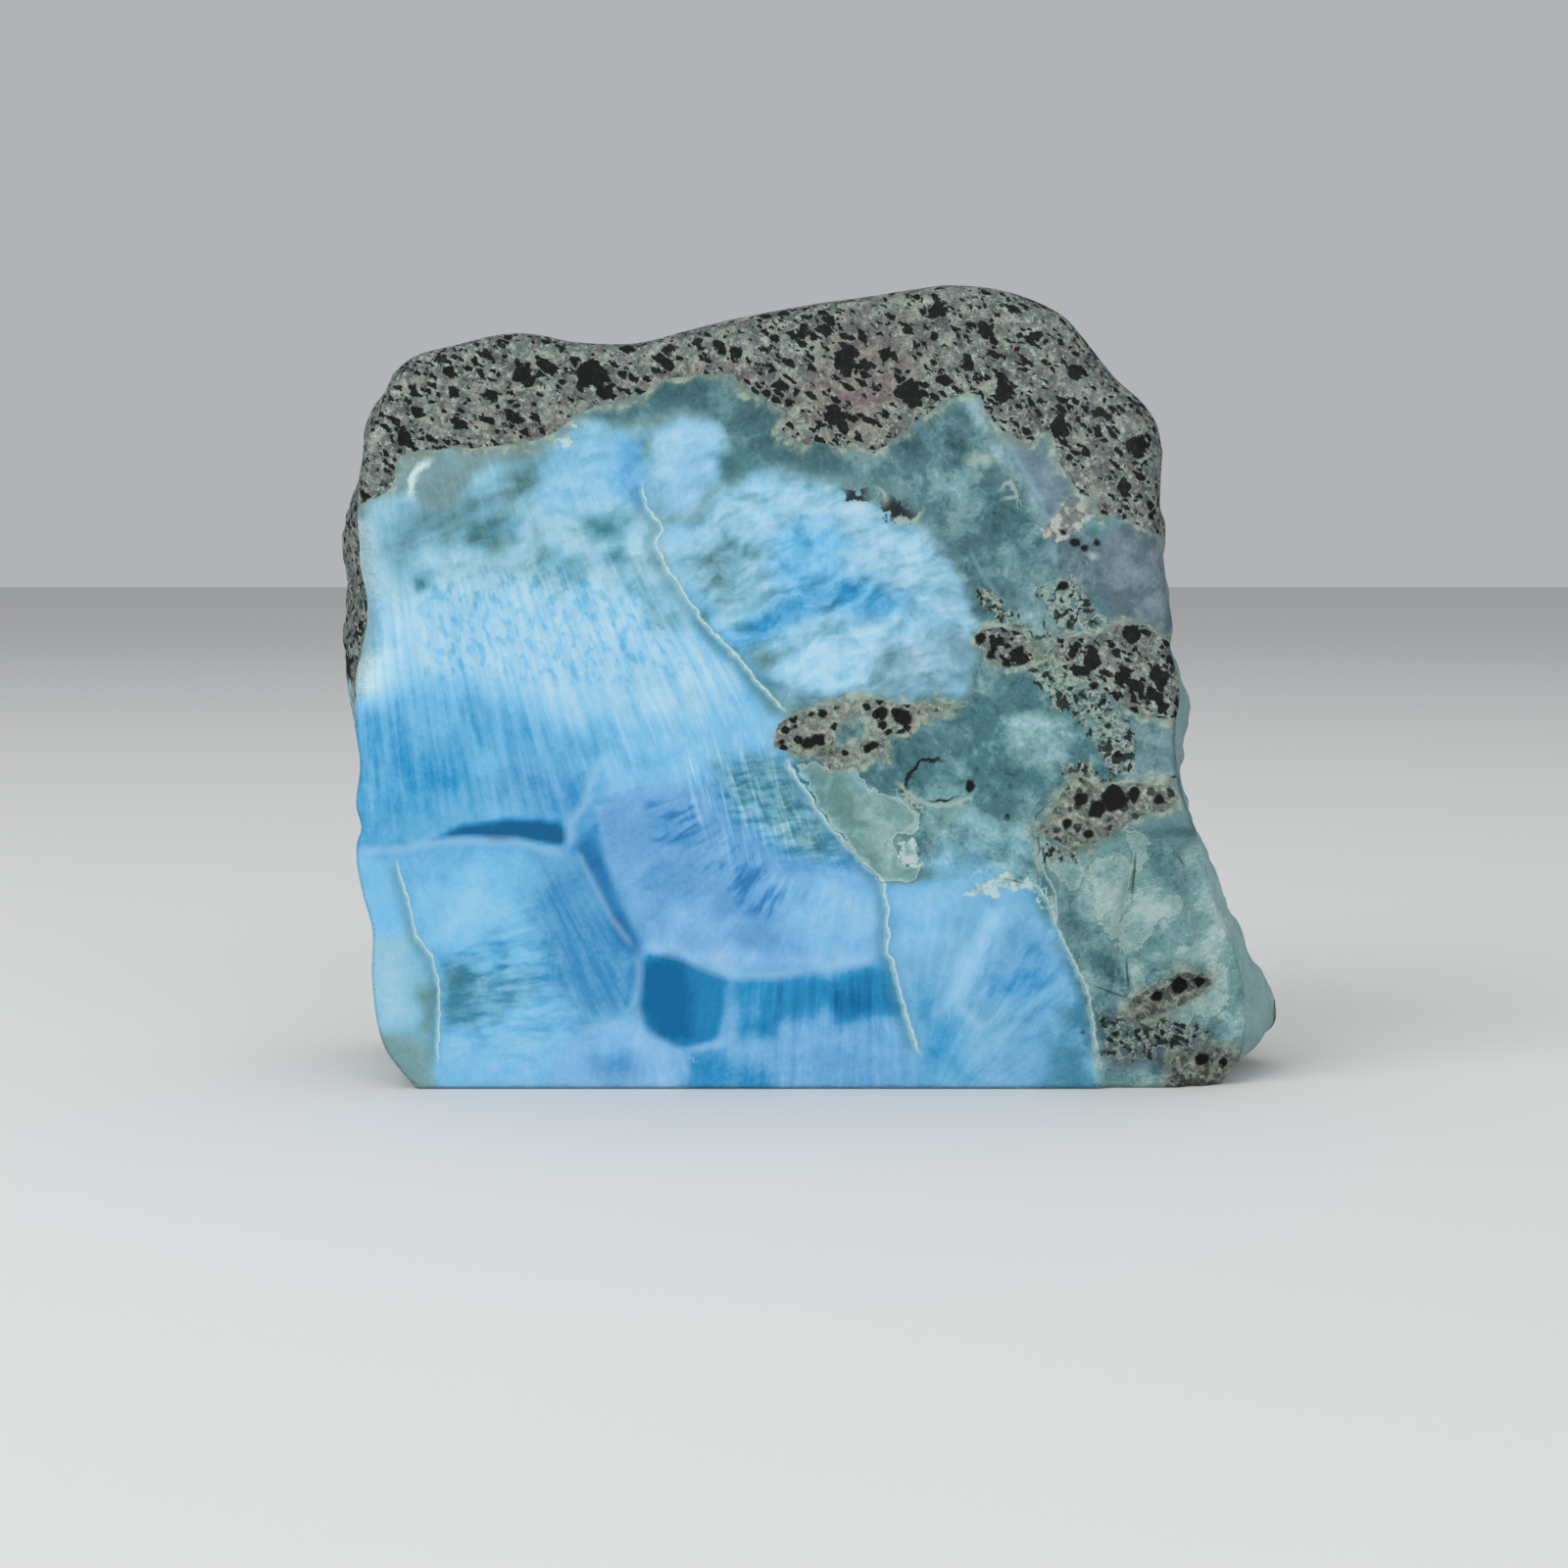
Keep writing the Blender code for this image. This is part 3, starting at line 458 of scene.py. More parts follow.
# Soft areas of other kinds: outline, how far it fades, and strength
AREAS = {
    "reddish": [
        ([(820, 400), (850, 345), (930, 340), (945, 380), (900, 440), (840, 445)], 2.2, 0.9),
        ([(640, 395), (760, 368), (800, 400), (700, 392)], 1.4, 0.6),
        ([(500, 440), (580, 425), (600, 415), (590, 440), (520, 455)], 1.2, 0.6),
    ],
    "dots": [
        ([(430, 590), (560, 570), (680, 620), (710, 690), (600, 700), (430, 690)], 1.5, 1.0),
    ],
    "ribs": [
        ([(350, 620), (650, 560), (760, 700), (660, 780), (600, 830), (350, 840)], 2.0, 1.0),
        ([(765, 1000), (925, 985), (950, 1120), (765, 1120)], 0.8, 0.6),
        ([(560, 880), (640, 980), (640, 1040), (520, 1060), (500, 960)], 1.2, 0.8),
        ([(400, 470), (560, 460), (640, 440), (640, 520), (560, 570), (420, 580)], 1.2, 0.2),
    ],
    "strokes": [
        ([(664, 822), (704, 812), (724, 850), (700, 868), (672, 860)], 0.8, 1.0),
        ([(730, 878), (778, 884), (808, 912), (798, 940), (765, 930), (742, 902)], 0.8, 1.0),
        ([(700, 855), (730, 860), (745, 890), (720, 892)], 0.8, 0.7),
        ([(468, 975), (500, 958), (535, 975), (530, 1020), (480, 1040)], 1.0, 0.5),
        ([(990, 960), (1060, 940), (1105, 1020), (1080, 1070), (1010, 1060)], 1.6, 0.4),
    ],
    "combed": [
        ([(590, 610), (700, 630), (790, 705), (800, 740), (700, 750), (620, 710)], 1.8, 0.55),
        ([(690, 800), (770, 785), (815, 800), (870, 880), (890, 930), (820, 925), (740, 870)],
         1.2, 0.8),
        ([(560, 880), (600, 890), (650, 980), (640, 1045), (585, 1050), (545, 950)], 1.4, 0.8),
        ([(930, 930), (1060, 930), (1110, 1020), (1100, 1080), (960, 1080)], 1.4, 0.35),
        ([(760, 1000), (925, 988), (940, 1060), (780, 1060)], 0.8, 0.45),
    ],
    "cloudy": [
        ([(690, 560), (745, 490), (850, 480), (900, 520), (960, 545), (1010, 600), (1015, 660),
          (985, 712), (900, 715), (820, 716), (790, 690), (730, 640)], 1.2, 1.0),
        ([(540, 470), (620, 430), (700, 410), (750, 440), (750, 480), (700, 560), (700, 640),
          (640, 600), (560, 590), (480, 580), (420, 590), (400, 540), (480, 500)], 1.8, 0.5),
        ([(590, 1055), (650, 1045), (700, 1085), (790, 1060), (920, 1050), (930, 1120),
          (600, 1120)], 1.2, 0.2),
    ],
    "crumbly": [
        ([(1000, 600), (1018, 600), (1050, 642), (1085, 652), (1104, 700), (1128, 706),
          (1165, 745), (1165, 790), (1140, 790), (1118, 748), (1085, 722), (1062, 690),
          (1030, 650)], 1.0, 0.95),
        ([(1060, 600), (1100, 585), (1130, 620), (1150, 640), (1100, 655), (1070, 640)], 1.2, 0.7),
        ([(1082, 782), (1120, 780), (1130, 800), (1205, 795), (1205, 812), (1100, 815)],
         0.6, 0.8),
        ([(980, 716), (1000, 712), (975, 728), (950, 738), (936, 748), (930, 738)], 0.4, 0.8),
        ([(1130, 1030), (1200, 1040), (1250, 1060), (1240, 1085), (1140, 1090)], 1.0, 0.8),
        ([(1065, 865), (1110, 862), (1105, 885), (1072, 885)], 0.5, 0.6),
    ],
    "pitted": [
        ([(780, 700), (990, 700), (990, 800), (780, 800)], 0.5, 1.0),
        ([(1050, 780), (1220, 780), (1220, 880), (1050, 880)], 0.5, 0.85),
        ([(1150, 990), (1290, 990), (1290, 1130), (1150, 1130)], 0.5, 0.6),
    ],
    "smudged": [
        ([(736, 776), (812, 772), (878, 858), (866, 892), (800, 872), (748, 832)], 1.4, 1.0),
        ([(455, 978), (560, 962), (590, 1040), (540, 1090), (455, 1085)], 1.6, 0.5),
    ],
    "veiled": [
        ([(690, 765), (760, 750), (812, 786), (842, 850), (800, 884), (750, 880), (700, 835)],
         1.6, 1.0),
    ],
    "calm": [
        ([(440, 858), (478, 847), (522, 839), (574, 838), (580, 852), (576, 862)], 0.5, 0.7),
        ([(655, 990), (668, 973), (746, 1002), (733, 1069), (694, 1074), (652, 1033)], 0.5, 0.85),
        ([(340, 875), (404, 877), (441, 982), (444, 1140), (340, 1140)], 0.5, 0.6),
    ],
    "mottled": [
        ([(820, 715), (990, 715), (1010, 640), (960, 540), (880, 460), (1000, 400),
          (1110, 560), (1230, 740), (1230, 800), (1100, 800), (1065, 905), (900, 890),
          (806, 778)], 1.0, 1.0),
        ([(1064, 870), (1260, 850), (1330, 1000), (1330, 1140), (1130, 1140), (1086, 950)],
         1.0, 1.0),
        ([(600, 425), (690, 380), (765, 380), (900, 450), (895, 486), (770, 468), (715, 415)],
         0.8, 0.8),
        ([(1003, 400), (1060, 446), (1260, 530), (1260, 660), (1150, 650), (1080, 560)],
         0.6, 0.6),
    ],
}

# Where the fibres of each part of the face come from: outline, centre, main direction, mean
# distance from the centre in millimetres, and how strong they are.
FIBRE_CELLS = [
    ([(584, 870), (584, 841), (599, 822), (608, 793), (650, 792), (700, 806), (745, 836),
      (790, 876), (850, 905), (905, 905), (909, 980), (850, 990), (796, 998), (752, 999),
      (726, 991), (701, 978), (664, 969), (650, 972), (624, 937), (605, 899), (592, 873)],
     (900, 740), (-1.0, 0.9), 17.0, 1.0),
    ([(536, 864), (554, 867), (580, 873), (592, 873), (605, 899), (624, 937), (650, 972),
      (655, 994), (650, 1026), (643, 1045), (600, 1054), (575, 1010), (560, 960), (545, 910)],
     (330, 420), (0.4, 1.0), 44.0, 0.35),
    ([(350, 870), (414, 868), (436, 861), (484, 859), (529, 860), (554, 867), (580, 873),
      (592, 873), (605, 899), (624, 937), (650, 972), (655, 994), (650, 1026), (643, 1045),
      (621, 1052), (586, 1061), (560, 1140), (350, 1140)],
     (280, 1030), (1.0, -0.1), 20.0, 0.35),
    ([(745, 1000), (796, 998), (850, 990), (905, 980), (915, 986), (925, 1022), (933, 1052),
      (945, 1085), (950, 1140), (560, 1140), (586, 1061), (643, 1045), (656, 1052),
      (650, 972), (701, 978)],
     (870, 200), (0.0, 1.0), 60.0, 1.0),
    ([(905, 901), (960, 900), (1061, 903), (1076, 923), (1087, 953), (1101, 983),
      (1117, 1014), (1125, 1059), (1129, 1140), (950, 1140), (945, 1085), (933, 1052),
      (925, 1022), (915, 986), (911, 933)],
     (935, 1170), (0.5, -1.0), 12.0, 1.0),
    ([(663, 518), (720, 440), (860, 470), (950, 500), (1030, 600), (1020, 680), (980, 718),
      (835, 723), (800, 730), (761, 677), (719, 632), (682, 577)],
     (900, 300), (0.0, 1.0), 30.0, 0.6),
]
OPEN_FIELD = ((304, -198), (0.25, 1.0), 72.0, 1.0)

# Kinds of marks drawn out along the fibres, and how many millimetres each is wide and long
FIBRE_KINDS = [
    ("streak", 0.7, 7.0), ("hair", 0.25, 3.5), ("rib", 0.6, 9.0), ("dot", 0.75, 1.2),
    ("stroke", 0.8, 3.6),
]


def linear(colour):
    """A colour written as sRGB hex, as the linear RGBA that shaders take."""
    share = np.array([int(colour[k:k + 2], 16) for k in (1, 3, 5)]) / 255
    straight = np.where(share <= 0.04045, share / 12.92, ((share + 0.055) / 1.055) ** 2.4)
    return (*straight.tolist(), 1)


def smooth_step(value, low, high):
    """An S-curve from 0 at low to 1 at high."""
    share = np.clip((value - low) / (high - low), 0, 1)
    return share * share * (3 - 2 * share)


def hill(value, middle, width):
    """A bell curve of height 1."""
    return np.exp(-(((value - middle) / width) ** 2))


def face_mm(points):
    """Points in face units as (x, z) in millimetres."""
    points = np.array(points, float)
    return (points - FACE_ZERO) * (FACE_UNIT, -FACE_UNIT)


def curve_through(points, cells):
    """cells + 1 points at equal steps along the Catmull-Rom curve through the given points."""
    given = np.array(points, float)
    ends = np.vstack([2 * given[0] - given[1], given, 2 * given[-1] - given[-2]])
    t = np.linspace(0, 1, STEPS_PER_SPAN, endpoint=False)[:, None]
    pieces = []
    for before, start, stop, after in zip(ends, ends[1:], ends[2:], ends[3:]):
        bend = (2 * before - 5 * start + 4 * stop - after) * t**2
        twist = (3 * start - before - 3 * stop + after) * t**3
        pieces.append(0.5 * (2 * start + (stop - before) * t + bend + twist))
    fine = np.vstack([*pieces, given[-1:]])
    length = np.concatenate([[0], np.cumsum(np.linalg.norm(np.diff(fine, axis=0), axis=1))])
    wanted = np.linspace(0, length[-1], cells + 1)
    return np.column_stack([np.interp(wanted, length, fine[:, axis]) for axis in (0, 1)])


def corner_number(corner, seed):
    """A repeatable number from -1 to 1 for each whole-numbered corner of space."""
    mixed = corner[..., 0] * 73856093 ^ corner[..., 1] * 19349663 ^ corner[..., 2] * 83492791
    mixed = (mixed + seed * 668265263) & 0xFFFFFFFF
    mixed = ((mixed ^ (mixed >> 13)) * 1274126177) & 0xFFFFFFFF
    return ((mixed ^ (mixed >> 16)) & 0xFFFF) / 32767.5 - 1


def lumps(points, size, seed):
    """Smooth noise from -1 to 1 with lumps about size across: numbers at the corners of a
    cubic lattice, blended along each axis by an S-curve."""
    place = points / size
    low = np.floor(place).astype(np.int64)
    share = smooth_step(place - low, 0, 1)
    total = np.zeros(len(points))
    for corner in np.ndindex(2, 2, 2):
        step = np.array(corner)
        weight = np.prod(np.where(step == 1, share, 1 - share), axis=1)
        total += weight * corner_number(low + step, seed)
    return total


def chips(points, size, seed):
    """Shell-shaped chips: the distance to the nearest of one scattered point in each cube
    of space, as a share of size. It is 0 in the middle of a bowl and about 1 on a ridge."""
    place = points / size
    low = np.floor(place).astype(np.int64)
    nearest = np.full(len(points), 9.0)
    for corner in np.ndindex(3, 3, 3):
        cell = low + np.array(corner) - 1
        scatter = np.stack([corner_number(cell, seed + axis) for axis in range(3)], axis=1)
        nearest = np.minimum(nearest, np.linalg.norm(cell + 0.5 + 0.4 * scatter - place, axis=1))
    return nearest


def line_distance(points, line):
    """Signed distance from (x, z) points to a broken line, above 0 on one side of it, and
    how far along the line the nearest place is, from 0 to the line's length."""
    best = np.full(len(points), 1e9)
    signed = np.zeros(len(points))
    along_line = np.zeros(len(points))
    passed = 0.0
    for start, stop in zip(line, line[1:]):
        start = np.array(start)
        along = np.array(stop) - start
        length = np.hypot(*along)
        share = np.clip((points - start) @ along / length**2, 0, 1)
        away = points - start - share[:, None] * along
        distance = np.linalg.norm(away, axis=1)
        side = np.sign(along[0] * (points[:, 1] - start[1]) - along[1] * (points[:, 0] - start[0]))
        nearer = distance < best
        best = np.where(nearer, distance, best)
        signed = np.where(nearer, side * distance, signed)
        along_line = np.where(nearer, passed + share * length, along_line)
        passed += length
    return signed, along_line


def depth_inside(points, outline):
    """Distance from (x, z) points to a closed outline: above 0 inside, below 0 outside."""
    corners = face_mm(outline)
    best = np.full(len(points), 1e9)
    inside = np.zeros(len(points), bool)
    for start, stop in zip(corners, np.roll(corners, -1, axis=0)):
        along = stop - start
        share = np.clip((points - start) @ along / (along @ along), 0, 1)
        away = points - start - share[:, None] * along
        best = np.minimum(best, np.linalg.norm(away, axis=1))
        crosses = (start[1] > points[:, 1]) != (stop[1] > points[:, 1])
        height = np.where(along[1] == 0, 1e-9, along[1])
        place = start[0] + (points[:, 1] - start[1]) / height * along[0]
        inside ^= crosses & (points[:, 0] < place)
    return np.where(inside, best, -best)


def thickness(x, z, base_and_top):
    """Depth of the stone behind each place of its face: it thins evenly towards the top."""
    base, top = base_and_top
    even = base + (top - base) * z / STONE_HEIGHT
    return even + 1.6 * hill(x, -12, 16) * hill(z, 34, 20) - 1.4 * hill(x, 26, 10)


def face_edge(x, z):
    """Width and depth of the rounding round the polished face. It is a small chipped edge,
    wide where the left edge broke off in flakes and where the cap's right shoulder is worn."""
    worn_cap = smooth_step(z, 52, 62)
    shoulder = hill(x, 30, 12) * hill(z, 56, 15)
    flaked = smooth_step(-x, 28, 34) * smooth_step(z, 30, 36) * smooth_step(-z, -54, -49)
    width = 0.6 + 1.0 * worn_cap + 3.4 * shoulder + 3.0 * flaked
    depth = 0.6 + 1.4 * worn_cap + 2.2 * shoulder + 1.5 * flaked
    return width, depth


def back_edge(z):
    """Radius of the rounding round the back: small at the base, large over the cap."""
    return 2.4 + 4.6 * smooth_step(z, 1, 30)


def bulge(x, z, share):
    """How far the sides stand out past the face's outline, at a share of the depth.
    Basalt swells behind the left edge, and a lump sits behind the right foot."""
    left = 2.9 * smooth_step(-x, 26, 34) * hill(z, 40, 13) * hill(share, 0.55, 0.34)
    left_foot = 1.2 * smooth_step(-x, 26, 34) * hill(z, 16, 10) * hill(share, 0.6, 0.3)
    foot = 3.4 * smooth_step(x, 28, 33) * hill(z, 4.5, 6.5) * hill(share, 0.5, 0.32)
    right = 1.7 * smooth_step(x, 22, 28) * hill(z, 34, 16) * hill(share, 0.5, 0.35)
    return left + left_foot + foot + right


def outward(outline, on_base):
    """Unit directions away from the stone's middle, level near the base. Along the base they
    shrink to nothing at its middle, so that only its ends move."""
    away = outline - np.array(STONE_MIDDLE)
    away[:, 1] *= smooth_step(outline[:, 1], 0, 12)
    away /= np.linalg.norm(away, axis=1)[:, None]
    along_base = np.column_stack([outline[:, 0] / BASE_EDGE[-1][0], np.zeros(len(outline))])
    return np.where(on_base[:, None], along_base, away)


def ring(outline, on_base, row, rows, base_and_top):
    """The outline carried back to one row, as (x, y, z) with y counted from the face. The
    first eighth of the rows is a quarter ellipse at the face, the last quarter of them a
    quarter circle at the back. Where these round the base, they lift the outline off it."""
    face_rows, back_rows = rows // 8, rows // 4
    x, z = outline.T
    width, depth = face_edge(x, z)
    full = thickness(x, z, base_and_top)
    radius = back_edge(z)
    if row < face_rows:
        turn = np.pi / 2 * row / face_rows
        inset = width * (1 - np.sin(turn))
        y = depth * (1 - np.cos(turn))
    elif row > rows - back_rows:
        turn = np.pi / 2 * (rows - row) / back_rows
        inset = radius * (1 - np.sin(turn))
        y = full - radius * (1 - np.cos(turn))
    else:
        share = (row - face_rows) / (rows - back_rows - face_rows)
        inset = np.zeros(len(x))
        y = depth + (full - radius - depth) * share
    moved = outline + outward(outline, on_base) * (bulge(x, z, y / full) - inset)[:, None]
    lift = inset * (1 - smooth_step(z, 0, 14))
    return np.column_stack([moved[:, 0], y, moved[:, 1] + lift])


def patch(edges):
    """A Coons patch, which is the surface between four edge curves, blended across it. Its
    inner points are then moved between their neighbours a few times, to keep them apart."""
    bottom, right, top, left = edges
    s = np.linspace(0, 1, len(bottom))[:, None, None]
    t = np.linspace(0, 1, len(left))[None, :, None]
    across = (1 - s) * left[None] + s * right[None]
    upward = (1 - t) * bottom[:, None] + t * top[:, None]
    low = (1 - s) * bottom[0] + s * bottom[-1]
    high = (1 - s) * top[0] + s * top[-1]
    sheet = across + upward - (1 - t) * low - t * high
    for _ in range(3 * len(bottom)):
        around = sheet[2:, 1:-1] + sheet[:-2, 1:-1] + sheet[1:-1, 2:] + sheet[1:-1, :-2]
        sheet[1:-1, 1:-1] = around / 4
    return sheet


def shell(cells, rows, base_and_top):
    """Points and four-sided faces of the stone before its relief, on the skin of a box of
    cells x cells x rows cells: polished face, sides and back."""
    curves = [curve_through(line, cells) for line in (BASE_EDGE, RIGHT_EDGE, TOP_EDGE, LEFT_EDGE)]
    grid = np.zeros((cells + 1, cells + 1, rows + 1, 3))
    for row in range(rows + 1):
        edges = []
        for number, curve in enumerate(curves):
            on_base = np.full(len(curve), number == 0) | (curve[:, 1] < 0.01)
            edges.append(ring(curve, on_base, row, rows, base_and_top))
        grid[:, 0, row], grid[-1, :, row], grid[:, -1, row], grid[0, :, row] = edges
        if row in (0, rows):
            grid[:, :, row] = patch(edges)
    back = grid[:, :, rows]
    steps_in = np.minimum(np.arange(cells + 1), cells - np.arange(cells + 1)) / cells
    swell = smooth_step(np.minimum(steps_in[:, None], steps_in), 0, 0.25)
    full = thickness(back[:, :, 0], back[:, :, 2], base_and_top)
    back[:, :, 1] += swell * (full + BACK_DOME - back[:, :, 1])

    number = np.arange((cells + 1) ** 2 * (rows + 1)).reshape(cells + 1, cells + 1, rows + 1)
    sheets = [
        number[:, :, 0], number[:, :, -1].T, number[:, 0, :].T,
        number[:, -1, :], number[0, :, :], number[-1, :, :].T,
    ]
    faces = []
    for sheet in sheets:
        quads = [sheet[:-1, :-1], sheet[1:, :-1], sheet[1:, 1:], sheet[:-1, 1:]]
        faces.append(np.stack(quads, axis=-1).reshape(-1, 4))
    faces = np.vstack(faces)
    used, faces = np.unique(faces, return_inverse=True)
    return grid.reshape(-1, 3)[used], faces.reshape(-1, 4)


def outward_normals(points, faces):
    """Unit normals at the points, from the cross products of each face's diagonals."""
    a, b, c, d = (points[faces[:, k]] for k in range(4))
    across = np.cross(c - a, d - b)
    normals = np.zeros_like(points)
    for k in range(4):
        for axis in range(3):
            normals[:, axis] += np.bincount(faces[:, k], across[:, axis], len(points))
    return normals / np.linalg.norm(normals, axis=1)[:, None]


def ledge_drop(points):
    """How far the face steps back in its fractured corner."""
    drop = np.zeros(len(points))
    for line, height in LEDGES:
        right = line_distance(points[:, [0, 2]], line)[0]
        drop += height * smooth_step(right, -LEDGE_WIDTH / 2, LEDGE_WIDTH / 2)
    return drop * smooth_step(-points[:, 2], -23, -19)


def bubble_dents(points, deepest):
    """Depth of the open gas bubbles: round dents with a flat rim."""
    dents = np.zeros(len(points))
    for x, y, z, radius in BUBBLES:
        distance = np.linalg.norm(points - np.array([x, y, z]), axis=1)
        dents += deepest * smooth_step(-distance, -radius, -0.3 * radius)
    return dents


def add_relief(points, normals, bubble_depth):
    """Moves the points in or out along their normals. The polished face and the base stay
    flat, the cap is smooth from wear, and the sides and the back are broken into
    shell-shaped chips, which carry smaller chips and grains."""
    x, y, z = points.T
    behind = smooth_step(y, face_edge(x, z)[1], 6)
    above_base = smooth_step(z, 0, 4)
    worn = smooth_step(z - 0.35 * y + 8 * hill(x, 30, 9), 50, 57)
    broken = 1.1 * lumps(points, 13, 3) + 2.8 * (0.5 - chips(points, 11, 5))
    broken += 0.3 * lumps(points, 3.5, 4) + 1.0 * (0.5 - chips(points, 5.5, 9))
    broken += 0.35 * (0.5 - chips(points, 2.2, 12)) + 0.12 * lumps(points, 0.9, 15)
    smooth = 0.6 * lumps(points, 12, 6) - 0.2 + 0.06 * lumps(points, 1.5, 16)
    dents = bubble_dents(points, bubble_depth)
    relief = behind * (worn * smooth + (1 - worn) * broken - dents)
    moved = normals * (above_base * relief)[:, None]
    moved[:, 1] += (1 - smooth_step(y, 1, 9)) * ledge_drop(points)
    return points + moved


def area(points, name):
    """Strength from 0 to 1 of one kind of soft area at (x, z) points."""
    total = np.zeros(len(points))
    for outline, fade, strength in AREAS[name]:
        inside = smooth_step(depth_inside(points, outline), -fade, fade)
        total = np.maximum(total, strength * inside)
    return total


def tints(points):
    """How pale, green, violet and grey the larimar is at (x, z) points. Each tint is laid
    over the ones before it, and fades at its outline."""
    values = np.tile(PLAIN_TINT, (len(points), 1))
    for outline, fade, *tint in TINTS:
        cover = smooth_step(depth_inside(points, outline), -fade, fade)[:, None]
        values += cover * (np.array(tint) - values)
    return dict(zip(("pale", "green", "violet", "grey"), values.T))


def nearest_line(points, lines):
    """For the nearest of several lines: signed distance in half widths of that line, and how
    strong the line is, which fades over its last 1.2 mm and ends 1.3 mm beside it."""
    best = np.full(len(points), 1e9)
    signed = np.zeros(len(points))
    strength = np.zeros(len(points))
    for line, width in lines:
        line = face_mm(line)
        distance, along = line_distance(points, line)
        length = np.linalg.norm(np.diff(line, axis=0), axis=1).sum()
        nearer = np.abs(distance) < best
        best = np.where(nearer, np.abs(distance), best)
        signed = np.where(nearer, distance / (width / 2), signed)
        end = np.minimum(along, length - along)
        strength = np.where(nearer, smooth_step(end, -0.1, 1.2), strength)
    return signed, strength * smooth_step(-best, -1.3, -0.9)


def spots(points, middles):
    """Depth inside the nearest of several angular spots, above 0 inside and below 0 outside.
    Each is bounded by six straight sides, with uneven directions and distances."""
    best = np.full(len(points), -1e9)
    for across, down, radius in middles:
        away = points - face_mm((across, down))
        side = np.column_stack([np.arange(6), np.full(6, across), np.full(6, down)])
        turn = (np.arange(6) + 0.35 * corner_number(side, 51)) * np.pi / 3 + across
        reach = radius * FACE_UNIT * (0.9 + 0.25 * corner_number(side, 52))
        outwards = np.stack([np.cos(turn), np.sin(turn)])
        best = np.maximum(best, (reach - away @ outwards).min(axis=1))
    return best


def fibre_place(points):
    """Place in the fibres' own directions, and how strong the fibres are. The place is across
    them, along them, and a number for the cell. Fibres radiate from the cell's centre; across
    is the angle times a mean radius. They fade out next to the walls of their cell."""
    place = np.zeros((len(points), 3))
    todo = np.ones(len(points), bool)
    strength = np.full(len(points), OPEN_FIELD[-1])
    from_wall = np.full(len(points), 1e9)
    for number, (outline, *fan) in enumerate([*FIBRE_CELLS, (None, *OPEN_FIELD)]):
        inside = np.ones(len(points)) if outline is None else depth_inside(points, outline)
        mine = todo & (inside > 0)
        centre, facing, radius, strong = fan
        strength[mine] = strong
        if outline is not None:
            from_wall = np.minimum(from_wall, np.abs(inside))
        away = points[mine] - face_mm(centre)
        facing_angle = np.arctan2(-facing[1], facing[0])
        angle = np.arctan2(away[:, 1], away[:, 0]) - facing_angle
        angle = (angle + np.pi) % (2 * np.pi) - np.pi
        distance = np.hypot(away[:, 0], away[:, 1])
        place[mine] = np.column_stack([angle * radius, distance, np.full(len(angle), 7.0 * number)])
        todo &= ~mine
    return place, strength * smooth_step(from_wall, 0.35, 1.6)


def basalt_depth(points, drifted):
    """How deep a place is inside basalt, in millimetres, below 0 in the larimar. Near the
    face it follows the face's outlines. Behind it, basalt is the cap and most of the crust."""
    x, y, z = points.T
    on_face = np.full(len(points), -1e9)
    for outline in BASALT:
        on_face = np.maximum(on_face, depth_inside(drifted, outline))
    on_face = np.minimum(on_face, -depth_inside(drifted, TEAL_WINDOW))
    crust = 2.0 * smooth_step(z, 38, 52) + 1.6 * smooth_step(y, 9, 16)
    crust += 2.0 * smooth_step(-x, 20, 34) * smooth_step(z, 26, 36) * smooth_step(y, 1.0, 3.5)
    crust -= 1.2 * smooth_step(-z, -1.5, 0) + 1.0
    crust += 1.6 * lumps(points, 16, 31) + 0.6 * lumps(points, 5, 32)
    share = smooth_step(y, 1.2, 5)
    return (1 - share) * np.clip(on_face, -4, 4) + share * crust


def pattern(points, normals):
    """The stone's pattern as one float layer per name, from each point's place before its
    relief. Tints and fibres carry on from the face into the stone and drift a little as they
    do. Lines, holes, large crystals and facets end a few millimetres behind the face."""
    y = points[:, 1]
    drift = np.column_stack([lumps(points, 9, 41), lumps(points, 9, 42)])
    wander = np.column_stack([lumps(points, 1.6, 43), lumps(points, 1.6, 44)])
    drifted = points[:, [0, 2]] + 0.25 * y[:, None] * drift
    soft = drifted + 0.35 * wander
    inner = smooth_step(y, 2, 6)
    layers = {name: area(soft, name) * (1 - inner) for name in AREAS}
    layers.update(tints(soft))
    layers["basalt"] = basalt_depth(points, drifted + 0.12 * wander)
    for name, lines in LINES.items():
        layers[name], strength = nearest_line(drifted, lines)
        layers[name + "_strength"] = strength * (1 - inner)
    layers["crystal"] = spots(drifted + 0.3 * wander, CRYSTALS) - 3 * inner
    layers["hole"] = spots(drifted + 0.1 * wander, HOLES) - 3 * inner
    for name, outlines in {"flake": FLAKES, **FACETS}.items():
        inside = [depth_inside(drifted + 0.15 * wander, outline) for outline in outlines]
        layers[name] = np.max(inside, axis=0) - 9 * inner
    layers["polish"] = smooth_step(-normals[:, 1], 0.75, 0.95) * (1 - smooth_step(y, 0.3, 1.2))
    layers["polish"] *= 1 - smooth_step(ledge_drop(points), 0.1, 0.5)
    layers["side"] = smooth_step(y, 0.6, 3)
    fibres, layers["fibrous"] = fibre_place(drifted)
    layers["fibrous"] *= np.maximum(PLAIN_FIBRES, layers["combed"])
    return layers, fibres


